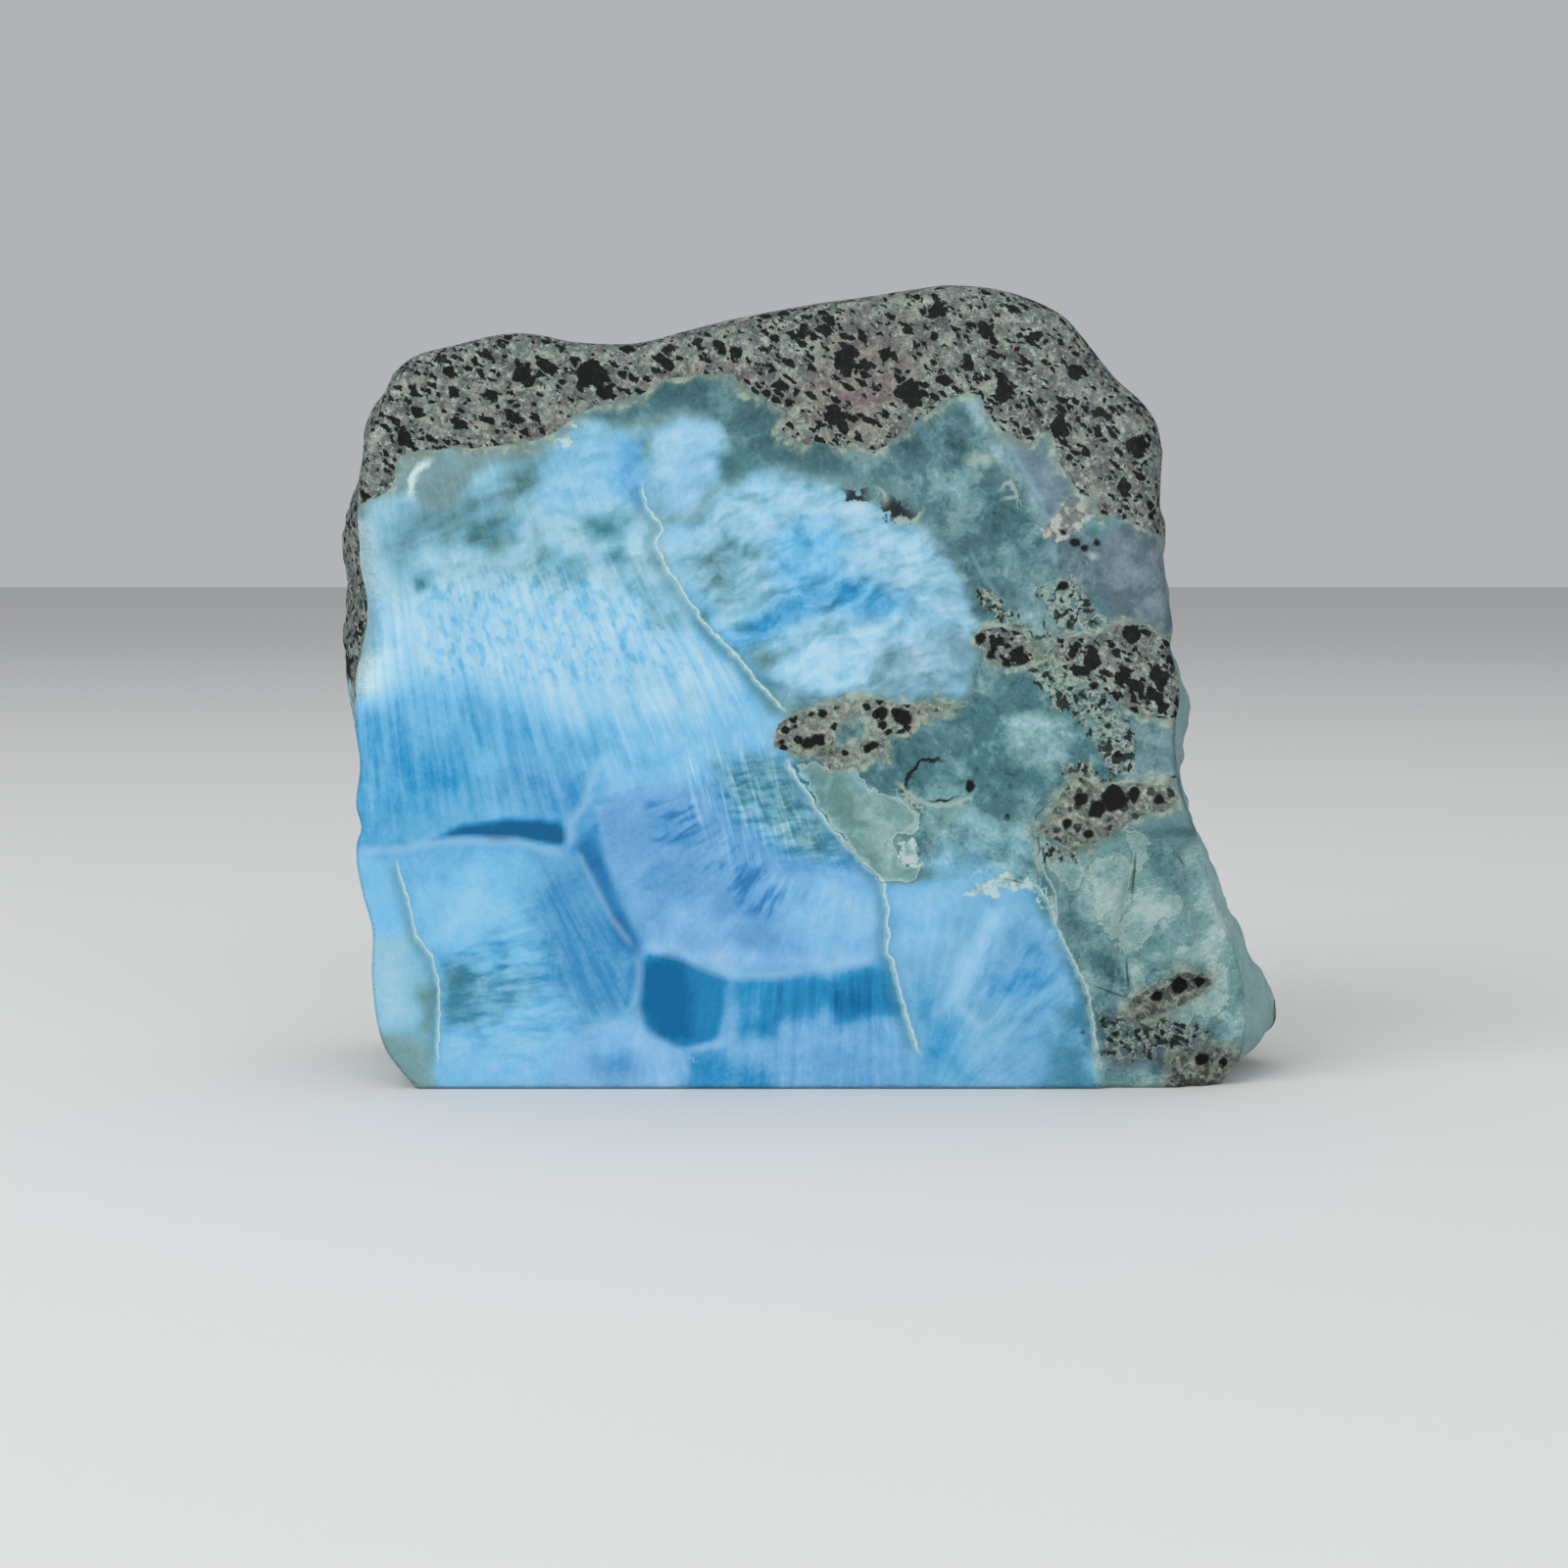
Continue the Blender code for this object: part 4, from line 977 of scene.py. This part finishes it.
def add_node(tree, kind, inputs, output=0, **settings):
    """Adds a node with its settings and gives one of its outputs. The inputs are a list in
    the node's order, or go by their names or numbers. Each is a socket to link, a value to
    set, or a colour as sRGB hex."""
    node = tree.nodes.new("ShaderNode" + kind)
    for name, value in settings.items():
        setattr(node, name, value)
    if isinstance(inputs, list):
        inputs = dict(enumerate(inputs))
    for name, value in inputs.items():
        if isinstance(value, bpy.types.NodeSocket):
            tree.links.new(value, node.inputs[name])
        else:
            node.inputs[name].default_value = linear(value) if isinstance(value, str) else value
    return node.outputs[output]


def paint(tree, colour, coats):
    """Lays coats over a colour in order. Each has its share, from 0 to 1, and its colour."""
    for share, coat in coats:
        colour = add_node(tree, "Mix", {0: share, 6: colour, 7: coat}, 2, data_type="RGBA")
    return colour


def vary(tree, value, changes):
    """Adds changes to a value. Each has a strength, what varies, the two values of that
    between which it changes, and the amounts added at these two."""
    for strength, varying, *spans in changes:
        change = add_node(tree, "MapRange", [varying, *spans])
        value = add_node(tree, "Math", [change, strength, value], operation="MULTIPLY_ADD")
    return value


def part_of(tree, whole, varying, *spans):
    """Share of a whole where something that varies lies between two values, in two spans as
    in a change."""
    part = add_node(tree, "MapRange", [varying, *spans])
    return add_node(tree, "Math", [part, whole], operation="MULTIPLY")


def line_part(tree, layer, name, beside, far, near, strength):
    """Share of a line, counted in its half widths: nothing farther than far from a place
    beside its middle, and strength nearer than near."""
    away = add_node(tree, "Math", [layer[name], beside], operation="SUBTRACT")
    away = add_node(tree, "Math", [away], operation="ABSOLUTE")
    return part_of(tree, layer[name + "_strength"], away, far, near, 0, strength)


def crystals(tree, place, size, share):
    """Angular crystals: a share of all cells of a cell pattern with cells about size across,
    each shrunk from its edges by an amount of its own."""
    add = partial(add_node, tree)
    cells = {"Vector": place, "Scale": 1 / size}
    edge = add("TexVoronoi", cells, "Distance", feature="DISTANCE_TO_EDGE")
    number = add("SeparateColor", [add("TexVoronoi", cells, "Color")])
    chosen = add("Math", [number, share], operation="LESS_THAN")
    shrunk = vary(tree, edge, [(-1, number, 0, share, 0.03, 0.3)])
    return part_of(tree, chosen, shrunk, -0.015, 0.03, 0, 1)


def basalt_colour(tree, place, layer, settings):
    """Grey-green basalt: a mottled ground with pale and dark specks, and angular crystals
    that are nearly black."""
    add = partial(add_node, tree)
    bend = add("TexNoise", {"Vector": place, "Scale": 2.0, "Detail": 4, "Roughness": 0.7}, "Color")
    uneven = add("VectorMath", [bend, (0.6, 0.6, 0.6), place], operation="MULTIPLY_ADD")
    mottle = add("TexNoise", {"Vector": place, "Scale": 0.5, "Detail": 5, "Roughness": 0.7})
    speck = add("TexNoise", {"Vector": place, "Scale": 2.2, "Detail": 5, "Roughness": 0.8})
    blotch = add("TexNoise", {"Vector": uneven, "Scale": 0.9, "Detail": 3})
    ragged = add("TexNoise", {"Vector": place, "Scale": 1.3, "Detail": 4})
    dark = vary(tree, layer["crystal"], [(1, ragged, 0.3, 0.7, -0.3, 0.3)])
    dark = add("MapRange", [dark, -0.05, 0.05])
    leaning = {"Vector": uneven, "Rotation": (0, 0.6, 0), "Scale": (1.6, 1, 0.9)}
    leaning = add("Mapping", leaning, vector_type="TEXTURE")
    for size, share in ((0.36, 0.26), (0.6, 0.3), (0.95, 0.2)):
        grown = crystals(tree, leaning, size, share)
        dark = add("Math", [dark, grown], operation="MAXIMUM")
    large = add("Math", [crystals(tree, uneven, 2.3, 0.12), layer["side"]], operation="MULTIPLY")
    dark = add("Math", [dark, large], operation="MAXIMUM")
    fewer = add("MapRange", [layer["pitted"], 0, 1, 1, 0.3])
    dark = add("Math", [dark, fewer], operation="MULTIPLY")
    pits = add("TexVoronoi", {"Vector": uneven, "Scale": 0.8}, "Distance")
    pits = part_of(tree, layer["pitted"], pits, 0.34, 0.28, 0, 1)
    dark = add("Math", [dark, pits], operation="MAXIMUM")
    ground = paint(tree, settings.rock_dark, [
        (add("MapRange", [mottle, 0.36, 0.62]), settings.rock_light),
        (part_of(tree, layer["pitted"], mottle, 0.3, 0.6, 0.1, 0.5), "#98a395"),
        (add("MapRange", [blotch, 0.52, 0.6, 0, 0.5]), "#a3ac9c"),
        (add("MapRange", [blotch, 0.44, 0.36, 0, 0.5]), "#465150"),
        (add("MapRange", [speck, 0.54, 0.6, 0, 0.75]), "#b3c0b2"),
        (add("MapRange", [ragged, 0.56, 0.62, 0, 0.3]), "#8d6f6d"),
        (add("MapRange", [speck, 0.45, 0.39, 0, 0.7]), "#39423f"),
        (add("MapRange", [layer["reddish"], 0, 1, 0, 0.4]), "#7d5e62"),
    ])
    sheen = add("MapRange", [speck, 0.5, 0.7, 0, 0.25])
    black = paint(tree, settings.crystal_colour, [(sheen, "#4b5a54")])
    return paint(tree, ground, [(dark, black)])


def larimar_noises(tree, place):
    """The noises that vary the larimar, by name: soft ones on a place that a wide noise
    bends, fine ones, three drawn out one way, and the ones drawn out along the fibres."""
    add = partial(add_node, tree)
    bend = add("TexNoise", {"Vector": place, "Scale": 0.28, "Detail": 2}, "Color")
    curled = add("VectorMath", [bend, (2.4, 2.4, 2.4), place], operation="MULTIPLY_ADD")
    noise = {}
    for name, source, scale, detail, roughness in (
            ("cotton", curled, 0.36, 6, 0.55), ("tuft", curled, 1.0, 4, 0.55),
            ("fluff", place, 0.8, 4, 0.55), ("blot", curled, 0.36, 4, 0.5),
            ("fleck", place, 1.2, 3, 0.6), ("grit", place, 2.6, 3, 0.7),
            ("net", place, 1.0, 4, 0.65), ("gap", curled, 1.6, 3, 0.5)):
        inputs = {"Vector": source, "Scale": scale, "Detail": detail, "Roughness": roughness}
        noise[name] = add("TexNoise", inputs)
    for name, source, turn, size in (
            ("sweep", curled, -0.42, (2.6, 2.6, 1.1)), ("smudge", place, -0.1, (2.0, 2.0, 0.7)),
            ("veil", place, -0.26, (0.5, 0.5, 5.0))):
        turned = {"Vector": source, "Rotation": (0, turn, 0), "Scale": size}
        turned = add("Mapping", turned, vector_type="TEXTURE")
        noise[name] = add("TexNoise", {"Vector": turned, "Scale": 1, "Detail": 4})
    fibres = add("Attribute", {}, "Vector", attribute_name="fibres")
    for name, across, along in FIBRE_KINDS:
        longer = add("VectorMath", [fibres, (1 / across, 1 / along, 1)], operation="MULTIPLY")
        noise[name] = add("TexNoise", {"Vector": longer, "Scale": 1, "Detail": 2})
    return noise


def larimar_tone(tree, layer, noise, facets, settings):
    """Blue pectolite with its clouds and feathered fibres. The noises make it paler or
    deeper, and then its tone is chosen by how pale, green, violet and grey it is."""
    add = partial(add_node, tree)
    raised, sunk = facets
    lively = add("Math", [1, layer["calm"]], operation="SUBTRACT")
    pale = vary(tree, layer["pale"], [
        (lively, noise["cotton"], 0.3, 0.7, -0.1, 0.1),
        (1, noise["grit"], 0.3, 0.7, -0.04, 0.04),
        (layer["cloudy"], noise["sweep"], 0.32, 0.68, -0.2, 0.14),
        (layer["cloudy"], noise["tuft"], 0.3, 0.7, -0.08, 0.08),
        (layer["mottled"], noise["fluff"], 0.3, 0.7, -0.06, 0.06),
        (layer["mottled"], noise["blot"], 0.49, 0.52, -0.05, 0.05),
        (layer["mottled"], noise["blot"], 0.57, 0.6, 0, 0.05),
        (layer["mottled"], noise["fleck"], 0.6, 0.63, 0, 0.1),
        (layer["mottled"], noise["fleck"], 0.42, 0.39, 0, -0.1),
        (layer["mottled"], noise["grit"], 0.3, 0.7, -0.03, 0.03),
        (layer["smudged"], noise["smudge"], 0.42, 0.62, 0.1, -0.22),
        (layer["veiled"], noise["veil"], 0.5, 0.66, -0.03, 0.24),
        (layer["fibrous"], noise["streak"], 0.3, 0.7, -0.16, 0.16),
        (layer["fibrous"], noise["hair"], 0.3, 0.7, -0.09, 0.09),
        (layer["ribs"], noise["rib"], 0.36, 0.64, -0.08, 0.08),
        (layer["dots"], noise["dot"], 0.5, 0.62, 0.03, -0.17),
        (layer["strokes"], noise["stroke"], 0.46, 0.62, 0.05, -0.26),
        (0.13, raised, 0, 1, 0, 1),
        (-0.09, sunk, 0, 1, 0, 1),
    ])
    green = vary(tree, layer["green"], [
        (lively, noise["cotton"], 0.3, 0.7, 0.12, -0.12),
        (layer["cloudy"], noise["sweep"], 0.32, 0.68, 0.2, -0.12),
    ])
    green = add("MapRange", [green, 0.22, 0.72])
    tones = {}
    for name in ("blue", "green", "violet", "grey"):
        deep, middle, light, white = (getattr(settings, f"{name}_{k}") for k in range(1, 5))
        tones[name] = paint(tree, deep, [
            (add("MapRange", [pale, 0, 0.33]), middle),
            (add("MapRange", [pale, 0.33, 0.66]), light),
            (add("MapRange", [pale, 0.66, 1]), white),
        ])
    return paint(tree, tones["blue"], [
        (layer["violet"], tones["violet"]),
        (green, tones["green"]),
        (layer["grey"], tones["grey"]),
    ])


def larimar_colour(tree, place, layer, settings):
    """The larimar with the marks on it: walls between its cells, pale veins with a painted
    shadow beside them and a painted highlight along one edge, facets, of which the pale ones
    have a painted highlight round their edges, flakes, crumbled places, cracks, slits and
    painted glints, whose edges a fine noise makes uneven. Gives its colour, and where its
    pale facets stand up."""
    add = partial(add_node, tree)
    noise = larimar_noises(tree, place)
    uneven = dict(layer)
    for name, size in (
            ("pale_facet", 0.3), ("deep_facet", 0.3), ("lump", 0.3), ("flake", 0.5),
            ("vein", 0.7), ("slit", 1.3), ("ridge", 1.3), ("painted_glint", 0.8)):
        uneven[name] = vary(tree, layer[name], [(size, noise["fleck"], 0.3, 0.7, -1, 1)])
    raised = add("MapRange", [uneven["pale_facet"], -0.04, 0.04])
    sunk = add("MapRange", [uneven["deep_facet"], -0.04, 0.04])
    tone = larimar_tone(tree, layer, noise, (raised, sunk), settings)

    chalk = paint(tree, "#8fb0b0", [(add("MapRange", [noise["fleck"], 0.42, 0.56]), "#c0d6d3")])
    cream = paint(tree, "#757c77", [
        (add("MapRange", [noise["fleck"], 0.46, 0.54]), "#b9bab2"),
        (add("MapRange", [noise["grit"], 0.44, 0.38, 0, 0.6]), "#505653"),
    ])
    crests = add("Math", [noise["net"], 0.5], operation="SUBTRACT")
    crests = add("Math", [crests], operation="ABSOLUTE")
    broken = vary(tree, layer["crumbly"], [(1, noise["net"], 0.3, 0.7, -0.6, 0.6)])
    near = add("MapRange", [layer["crumbly"], 0.05, 0.3])
    crumbly = part_of(tree, near, broken, 0.35, 0.55, 0, 1)
    return paint(tree, tone, [
        (line_part(tree, layer, "wall", 0, 4.2, 0, 0.48), settings.wall_colour),
        (line_part(tree, layer, "inner_wall", 0, 4.2, 0, 0.38), settings.wall_colour),
        (line_part(tree, layer, "outer_wall", 0, 4.6, 0, 0.22), settings.wall_colour),
        # painted shadow: a dark teal band beside each vein
        (line_part(tree, uneven, "vein", -2.2, 5.0, 0.5, 0.4), "#427d90"),
        (line_part(tree, uneven, "vein", 0, 1.4, 0.7, 0.65), settings.vein_colour),
        # painted highlight: a near-white line along one edge of each vein
        (line_part(tree, uneven, "vein", 0.5, 0.65, 0.1, 0.65), "#d0e5e1"),
        (add("MapRange", [raised, 0, 1, 0, 0.3]), "#8db4ac"),
        # painted highlight: a pale line round the edges of the pale facets
        (part_of(tree, raised, uneven["pale_facet"], 0.34, 0.08, 0, 0.5), "#b5d0c6"),
        (line_part(tree, uneven, "ridge", 0, 1.8, 0.6, 0.7), "#a9bbae"),
        (add("MapRange", [uneven["flake"], -0.08, 0.08, 0, 0.85]), chalk),
        (add("MapRange", [uneven["lump"], -0.08, 0.08, 0, 0.9]), cream),
        (add("MapRange", [crumbly, 0, 1, 0, 0.65]), "#61746f"),
        (part_of(tree, crumbly, crests, 0.05, 0.015, 0, 0.75), "#acb8a8"),
        (part_of(tree, crumbly, noise["gap"], 0.52, 0.56, 0, 0.95), "#171e1e"),
        # painted glints: near-white lines where glassy edges catch the light
        (line_part(tree, uneven, "painted_glint", 0, 2.0, 0.6, 0.75), "#dfeeec"),
        (line_part(tree, layer, "crack", 0, 1.2, 0.4, 0.8), "#3c3a33"),
        (line_part(tree, uneven, "slit", 0, 1.2, 0.8, 0.95), "#10161a"),
    ]), raised


def stone_material(settings, names):
    """Polished pectolite in worn basalt. On the face the polish gives a soft reflection; the
    crust and the broken sides are dull and grainy, and larimar looks chalky there. Places
    and heights are in millimetres, so a noise's scale is the number of its lumps per
    millimetre: 0.36 for the clouds, 1 to 3 for flecks and grit."""
    material = bpy.data.materials.new("polished_pectolite_in_worn_basalt")
    material.use_nodes = True
    tree = material.node_tree
    add = partial(add_node, tree)
    shader = tree.nodes["Principled BSDF"]
    metres = add("TexCoord", {}, "Object")
    place = add("VectorMath", {0: metres, "Scale": 1 / MM}, operation="SCALE")
    layer = {name: add("Attribute", {}, "Fac", attribute_name=name) for name in names}
    unpolished = add("Math", [1, layer["polish"]], operation="SUBTRACT")

    ragged = add("TexNoise", {"Vector": place, "Scale": 0.85, "Detail": 5, "Roughness": 0.65})
    uneven = add("TexNoise", {"Vector": place, "Scale": 0.6, "Detail": 3})
    depth = vary(tree, layer["basalt"], [(1, ragged, 0, 1, -0.6, 0.6)])
    basalt = add("MapRange", [depth, -0.06, 0.06])
    rim = vary(tree, depth, [(1, uneven, 0.3, 0.7, -0.6, 0.5)])
    rim_tone = paint(tree, "#75887c", [(add("MapRange", [ragged, 0.45, 0.6]), "#abb9a8")])
    hole = add("MapRange", [layer["hole"], -0.06, 0.1])
    rock = basalt_colour(tree, place, layer, settings)
    larimar, raised = larimar_colour(tree, place, layer, settings)
    colour = paint(tree, larimar, [
        (add("MapRange", [layer["side"], 0, 1, 0, 0.35]), "#b3cfce"),
        (add("MapRange", [rim, -0.95, -0.4, 0, 0.35]), rim_tone),
        (add("MapRange", [rim, -0.5, -0.38, 0, 0.6]), rim_tone),
        (basalt, rock),
        (hole, "#0c0d0e"),
    ])
    tree.links.new(colour, shader.inputs["Base Color"])
    # Low, because a hand polish leaves only a faint reflection
    shader.inputs["Specular IOR Level"].default_value = 0.18

    face = add("MapRange", [basalt, 0, 1, settings.face_roughness, settings.rock_roughness])
    polished = add("Mix", {0: unpolished, 2: face, 3: settings.crust_roughness})
    tree.links.new(polished, shader.inputs["Roughness"])

    grain = add("TexNoise", {"Vector": place, "Scale": 2.5, "Detail": 4, "Roughness": 0.7})
    coarse = add("MapRange", [grain, 0, 1, 0, 0.12])
    worn = vary(tree, 0.03, [(1, basalt, 0, 1, 0, 0.2), (1, unpolished, 0, 1, 0, 0.8)])
    splinters = add("TexNoise", {"Vector": place, "Scale": 0.7, "Detail": 5, "Roughness": 0.7})
    height = vary(tree, 0.0, [
        (worn, coarse, 0, 1, 0, 1),
        (1, hole, 0, 1, 0, -0.25),
        (1, raised, 0, 1, 0, 0.12),
        (unpolished, splinters, 0.3, 0.7, -0.2, 0.2),
    ])
    bump = add("Bump", {"Height": height, "Distance": MM, "Strength": 1.0})
    tree.links.new(bump, shader.inputs["Normal"])
    return material


def make_stone(settings):
    """The stone as one closed mesh in metres, inside the solid's box, with its pattern."""
    base_and_top = (settings.base_thickness / MM, settings.top_thickness / MM)
    points, faces = shell(settings.cells_across, settings.rows_deep, base_and_top)
    normals = outward_normals(points, faces)
    layers, fibres = pattern(points, normals)
    moved = add_relief(points, normals, settings.bubble_depth / MM)
    low, high = (corner / MM for corner in SOLID_BOX)
    moved[:, 0] -= (moved[:, 0].min() + moved[:, 0].max()) / 2
    moved[:, 1] += low[1]
    moved = np.clip(moved, low, high)
    mesh = bpy.data.meshes.new("larimar")
    mesh.from_pydata(moved * MM, [], faces)
    mesh.update()
    mesh.shade_smooth()
    for name, values in layers.items():
        mesh.attributes.new(name, "FLOAT", "POINT").data.foreach_set("value", values.astype(np.float32))
    place = mesh.attributes.new("fibres", "FLOAT_VECTOR", "POINT")
    place.data.foreach_set("vector", fibres.astype(np.float32).ravel())
    mesh.materials.append(stone_material(settings, list(layers)))
    stone = bpy.data.objects.new("larimar", mesh)
    bpy.context.scene.collection.objects.link(stone)
    return stone


def add_light(name, place, size, power):
    """A square area light at place that faces the stone's middle, in metres and watts."""
    lamp = bpy.data.lights.new(name, "AREA")
    lamp.size = size
    lamp.energy = power
    light = bpy.data.objects.new(name, lamp)
    light.location = place
    away = Vector((0, 0, LIT_HEIGHT)) - Vector(place)
    light.rotation_euler = away.to_track_quat("-Z", "Y").to_euler()
    bpy.context.scene.collection.objects.link(light)


def colour_setting(name, description, colour):
    """A colour in the sidebar, with its default as sRGB hex."""
    return bpy.props.FloatVectorProperty(
        name=name, description=description, default=linear(colour), size=4, min=0, max=1,
        subtype="COLOR")


class LarimarStoneSettings(bpy.types.PropertyGroup):
    """The stone's thickness, how finely it is made, its colours, and how it reflects."""

    base_thickness: bpy.props.FloatProperty(
        name="Base thickness", description="From the face to the back, at the base",
        default=0.027, min=0.01, max=0.027, unit="LENGTH")
    top_thickness: bpy.props.FloatProperty(
        name="Top thickness", description="From the face to the back, at the top of the cap",
        default=0.02, min=0.01, max=0.027, unit="LENGTH")
    bubble_depth: bpy.props.FloatProperty(
        name="Bubble depth", description="Depth of the open gas bubbles in the back",
        default=0.0013, min=0, max=0.003, unit="LENGTH")
    cells_across: bpy.props.IntProperty(
        name="Cells across", description="Cells along each edge of the face", default=180, min=24)
    rows_deep: bpy.props.IntProperty(
        name="Rows deep", description="Rows of cells from the face to the back", default=48, min=8)
    face_roughness: bpy.props.FloatProperty(
        name="Face roughness", description="Roughness of the polished larimar", default=0.24,
        min=0, max=1, subtype="FACTOR")
    rock_roughness: bpy.props.FloatProperty(
        name="Rock roughness", description="Roughness of the polished basalt", default=0.36,
        min=0, max=1, subtype="FACTOR")
    crust_roughness: bpy.props.FloatProperty(
        name="Crust roughness", description="Roughness of the worn and broken surfaces",
        default=0.8, min=0, max=1, subtype="FACTOR")
    blue_1: colour_setting("Deep blue", "Blue larimar at its deepest", "#00669a")
    blue_2: colour_setting("Middle blue", "Blue larimar, a third of the way to white", "#2a92c6")
    blue_3: colour_setting("Light blue", "Blue larimar, two thirds of the way", "#7cc0e4")
    blue_4: colour_setting("White blue", "Blue larimar at its whitest", "#b4d8e9")
    green_1: colour_setting("Deep green", "Green larimar at its deepest", "#22464e")
    green_2: colour_setting("Middle green", "Green larimar, a third of the way", "#4c7d82")
    green_3: colour_setting("Light green", "Green larimar, two thirds of the way", "#84afb0")
    green_4: colour_setting("White green", "Green larimar at its whitest", "#c6dcdb")
    violet_1: colour_setting("Deep violet", "Violet larimar at its deepest", "#1f5590")
    violet_2: colour_setting("Middle violet", "Violet larimar, a third of the way", "#558fc8")
    violet_3: colour_setting("Light violet", "Violet larimar, two thirds of the way", "#8cb8e2")
    violet_4: colour_setting("White violet", "Violet larimar at its whitest", "#c6daee")
    grey_1: colour_setting("Deep grey", "Slate-grey larimar at its deepest", "#38494f")
    grey_2: colour_setting("Middle grey", "Slate-grey larimar, a third of the way", "#5f737c")
    grey_3: colour_setting("Light grey", "Slate-grey larimar, two thirds of the way", "#8d9ea5")
    grey_4: colour_setting("White grey", "Slate-grey larimar at its whitest", "#c8d1d3")
    wall_colour: colour_setting("Walls", "Walls between the cells of larimar", "#a5cbe6")
    vein_colour: colour_setting("Veins", "Pale veins through the larimar", "#93bcc2")
    rock_dark: colour_setting("Dark rock", "Darker parts of the basalt's ground", "#4f5b5b")
    rock_light: colour_setting("Light rock", "Lighter parts of the basalt's ground", "#7c8784")
    crystal_colour: colour_setting("Crystals", "Dark crystals in the basalt", "#0a0e10")


class LarimarStageSettings(bpy.types.PropertyGroup):
    """Where the camera stands, its lens, the floor's colour and the light from all round."""

    distance: bpy.props.FloatProperty(
        name="Distance", description="From the camera to the polished face", default=0.25,
        unit="LENGTH")
    height: bpy.props.FloatProperty(
        name="Height", description="Height of the camera above the floor", default=0.045,
        unit="LENGTH")
    lens: bpy.props.FloatProperty(
        name="Lens", description="Focal length on a 36 mm sensor, in millimetres", default=70.0)
    floor_colour: colour_setting("Floor", "Pale matt floor", "#dcdcda")
    daylight_colour: colour_setting("Daylight", "Light from all round", "#c4c6ca")
    daylight: bpy.props.FloatProperty(
        name="Daylight strength", description="Strength of the light from all round",
        default=0.8, min=0)


class LARIMAR_OT_stone(bpy.types.Operator):
    """Make the stone with its pattern of larimar and basalt"""

    bl_idname = "larimar.stone"
    bl_label = "Make the stone"

    def execute(self, context):
        settings = context.scene.larimar_stone
        stone = make_stone(settings)
        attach(stone, "root")
        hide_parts("larimar_stone")
        return {"FINISHED"}


class LARIMAR_OT_stage(bpy.types.Operator):
    """Make a pale floor, soft light and the camera"""

    bl_idname = "larimar.stage"
    bl_label = "Make the stage"

    def execute(self, context):
        settings = context.scene.larimar_stage
        mesh = bpy.data.meshes.new("floor")
        signs = ((-1, -1), (1, -1), (1, 1), (-1, 1))
        corners = [(FLOOR_REACH * across, FLOOR_REACH * back, 0) for across, back in signs]
        mesh.from_pydata(corners, [], [(0, 1, 2, 3)])
        floor = bpy.data.objects.new("floor", mesh)
        context.scene.collection.objects.link(floor)
        # Matt paper gives a plain pale ground that shows soft shadows and no shine
        paper = bpy.data.materials.new("white_matt_paper")
        paper.use_nodes = True
        shader = paper.node_tree.nodes["Principled BSDF"]
        shader.inputs["Base Color"].default_value = settings.floor_colour
        shader.inputs["Roughness"].default_value = 0.9
        mesh.materials.append(paper)

        world = bpy.data.worlds.new("daylight")
        world.use_nodes = True
        background = world.node_tree.nodes["Background"]
        background.inputs["Color"].default_value = settings.daylight_colour
        background.inputs["Strength"].default_value = settings.daylight
        context.scene.world = world
        for light in LIGHTS:
            add_light(*light)

        camera_data = bpy.data.cameras.new("camera")
        camera_data.lens = settings.lens
        camera_data.sensor_width = 36
        camera = bpy.data.objects.new("camera", camera_data)
        face_y = SOLID_BOX[0][1]
        aim = Vector((CAMERA_AIM[0], face_y, CAMERA_AIM[1]))
        camera.location = (aim.x, face_y - settings.distance, settings.height)
        camera.rotation_euler = (aim - camera.location).to_track_quat("-Z", "Y").to_euler()
        context.scene.collection.objects.link(camera)
        context.scene.camera = camera
        context.scene.view_settings.view_transform = "Standard"
        return {"FINISHED"}


class LARIMAR_PT_panel(bpy.types.Panel):
    """The sidebar's settings and buttons"""

    bl_label = "Rough larimar"
    bl_space_type = "VIEW_3D"
    bl_region_type = "UI"
    bl_category = "Larimar"

    def draw(self, context):
        for settings in (context.scene.larimar_stone, context.scene.larimar_stage):
            for name in settings.__annotations__:
                self.layout.prop(settings, name)
        self.layout.operator("larimar.stone")
        self.layout.operator("larimar.stage")


CLASSES = (
    LarimarStoneSettings, LarimarStageSettings, LARIMAR_OT_stone, LARIMAR_OT_stage,
    LARIMAR_PT_panel,
)


def register():
    for cls in CLASSES:
        bpy.utils.register_class(cls)
    bpy.types.Scene.larimar_stone = bpy.props.PointerProperty(type=LarimarStoneSettings)
    bpy.types.Scene.larimar_stage = bpy.props.PointerProperty(type=LarimarStageSettings)


def unregister():
    del bpy.types.Scene.larimar_stage
    del bpy.types.Scene.larimar_stone
    for cls in reversed(CLASSES):
        bpy.utils.unregister_class(cls)


def main():
    register()
    bpy.ops.larimar.stone()
    bpy.ops.larimar.stage()


if __name__ == "__main__":
    main()
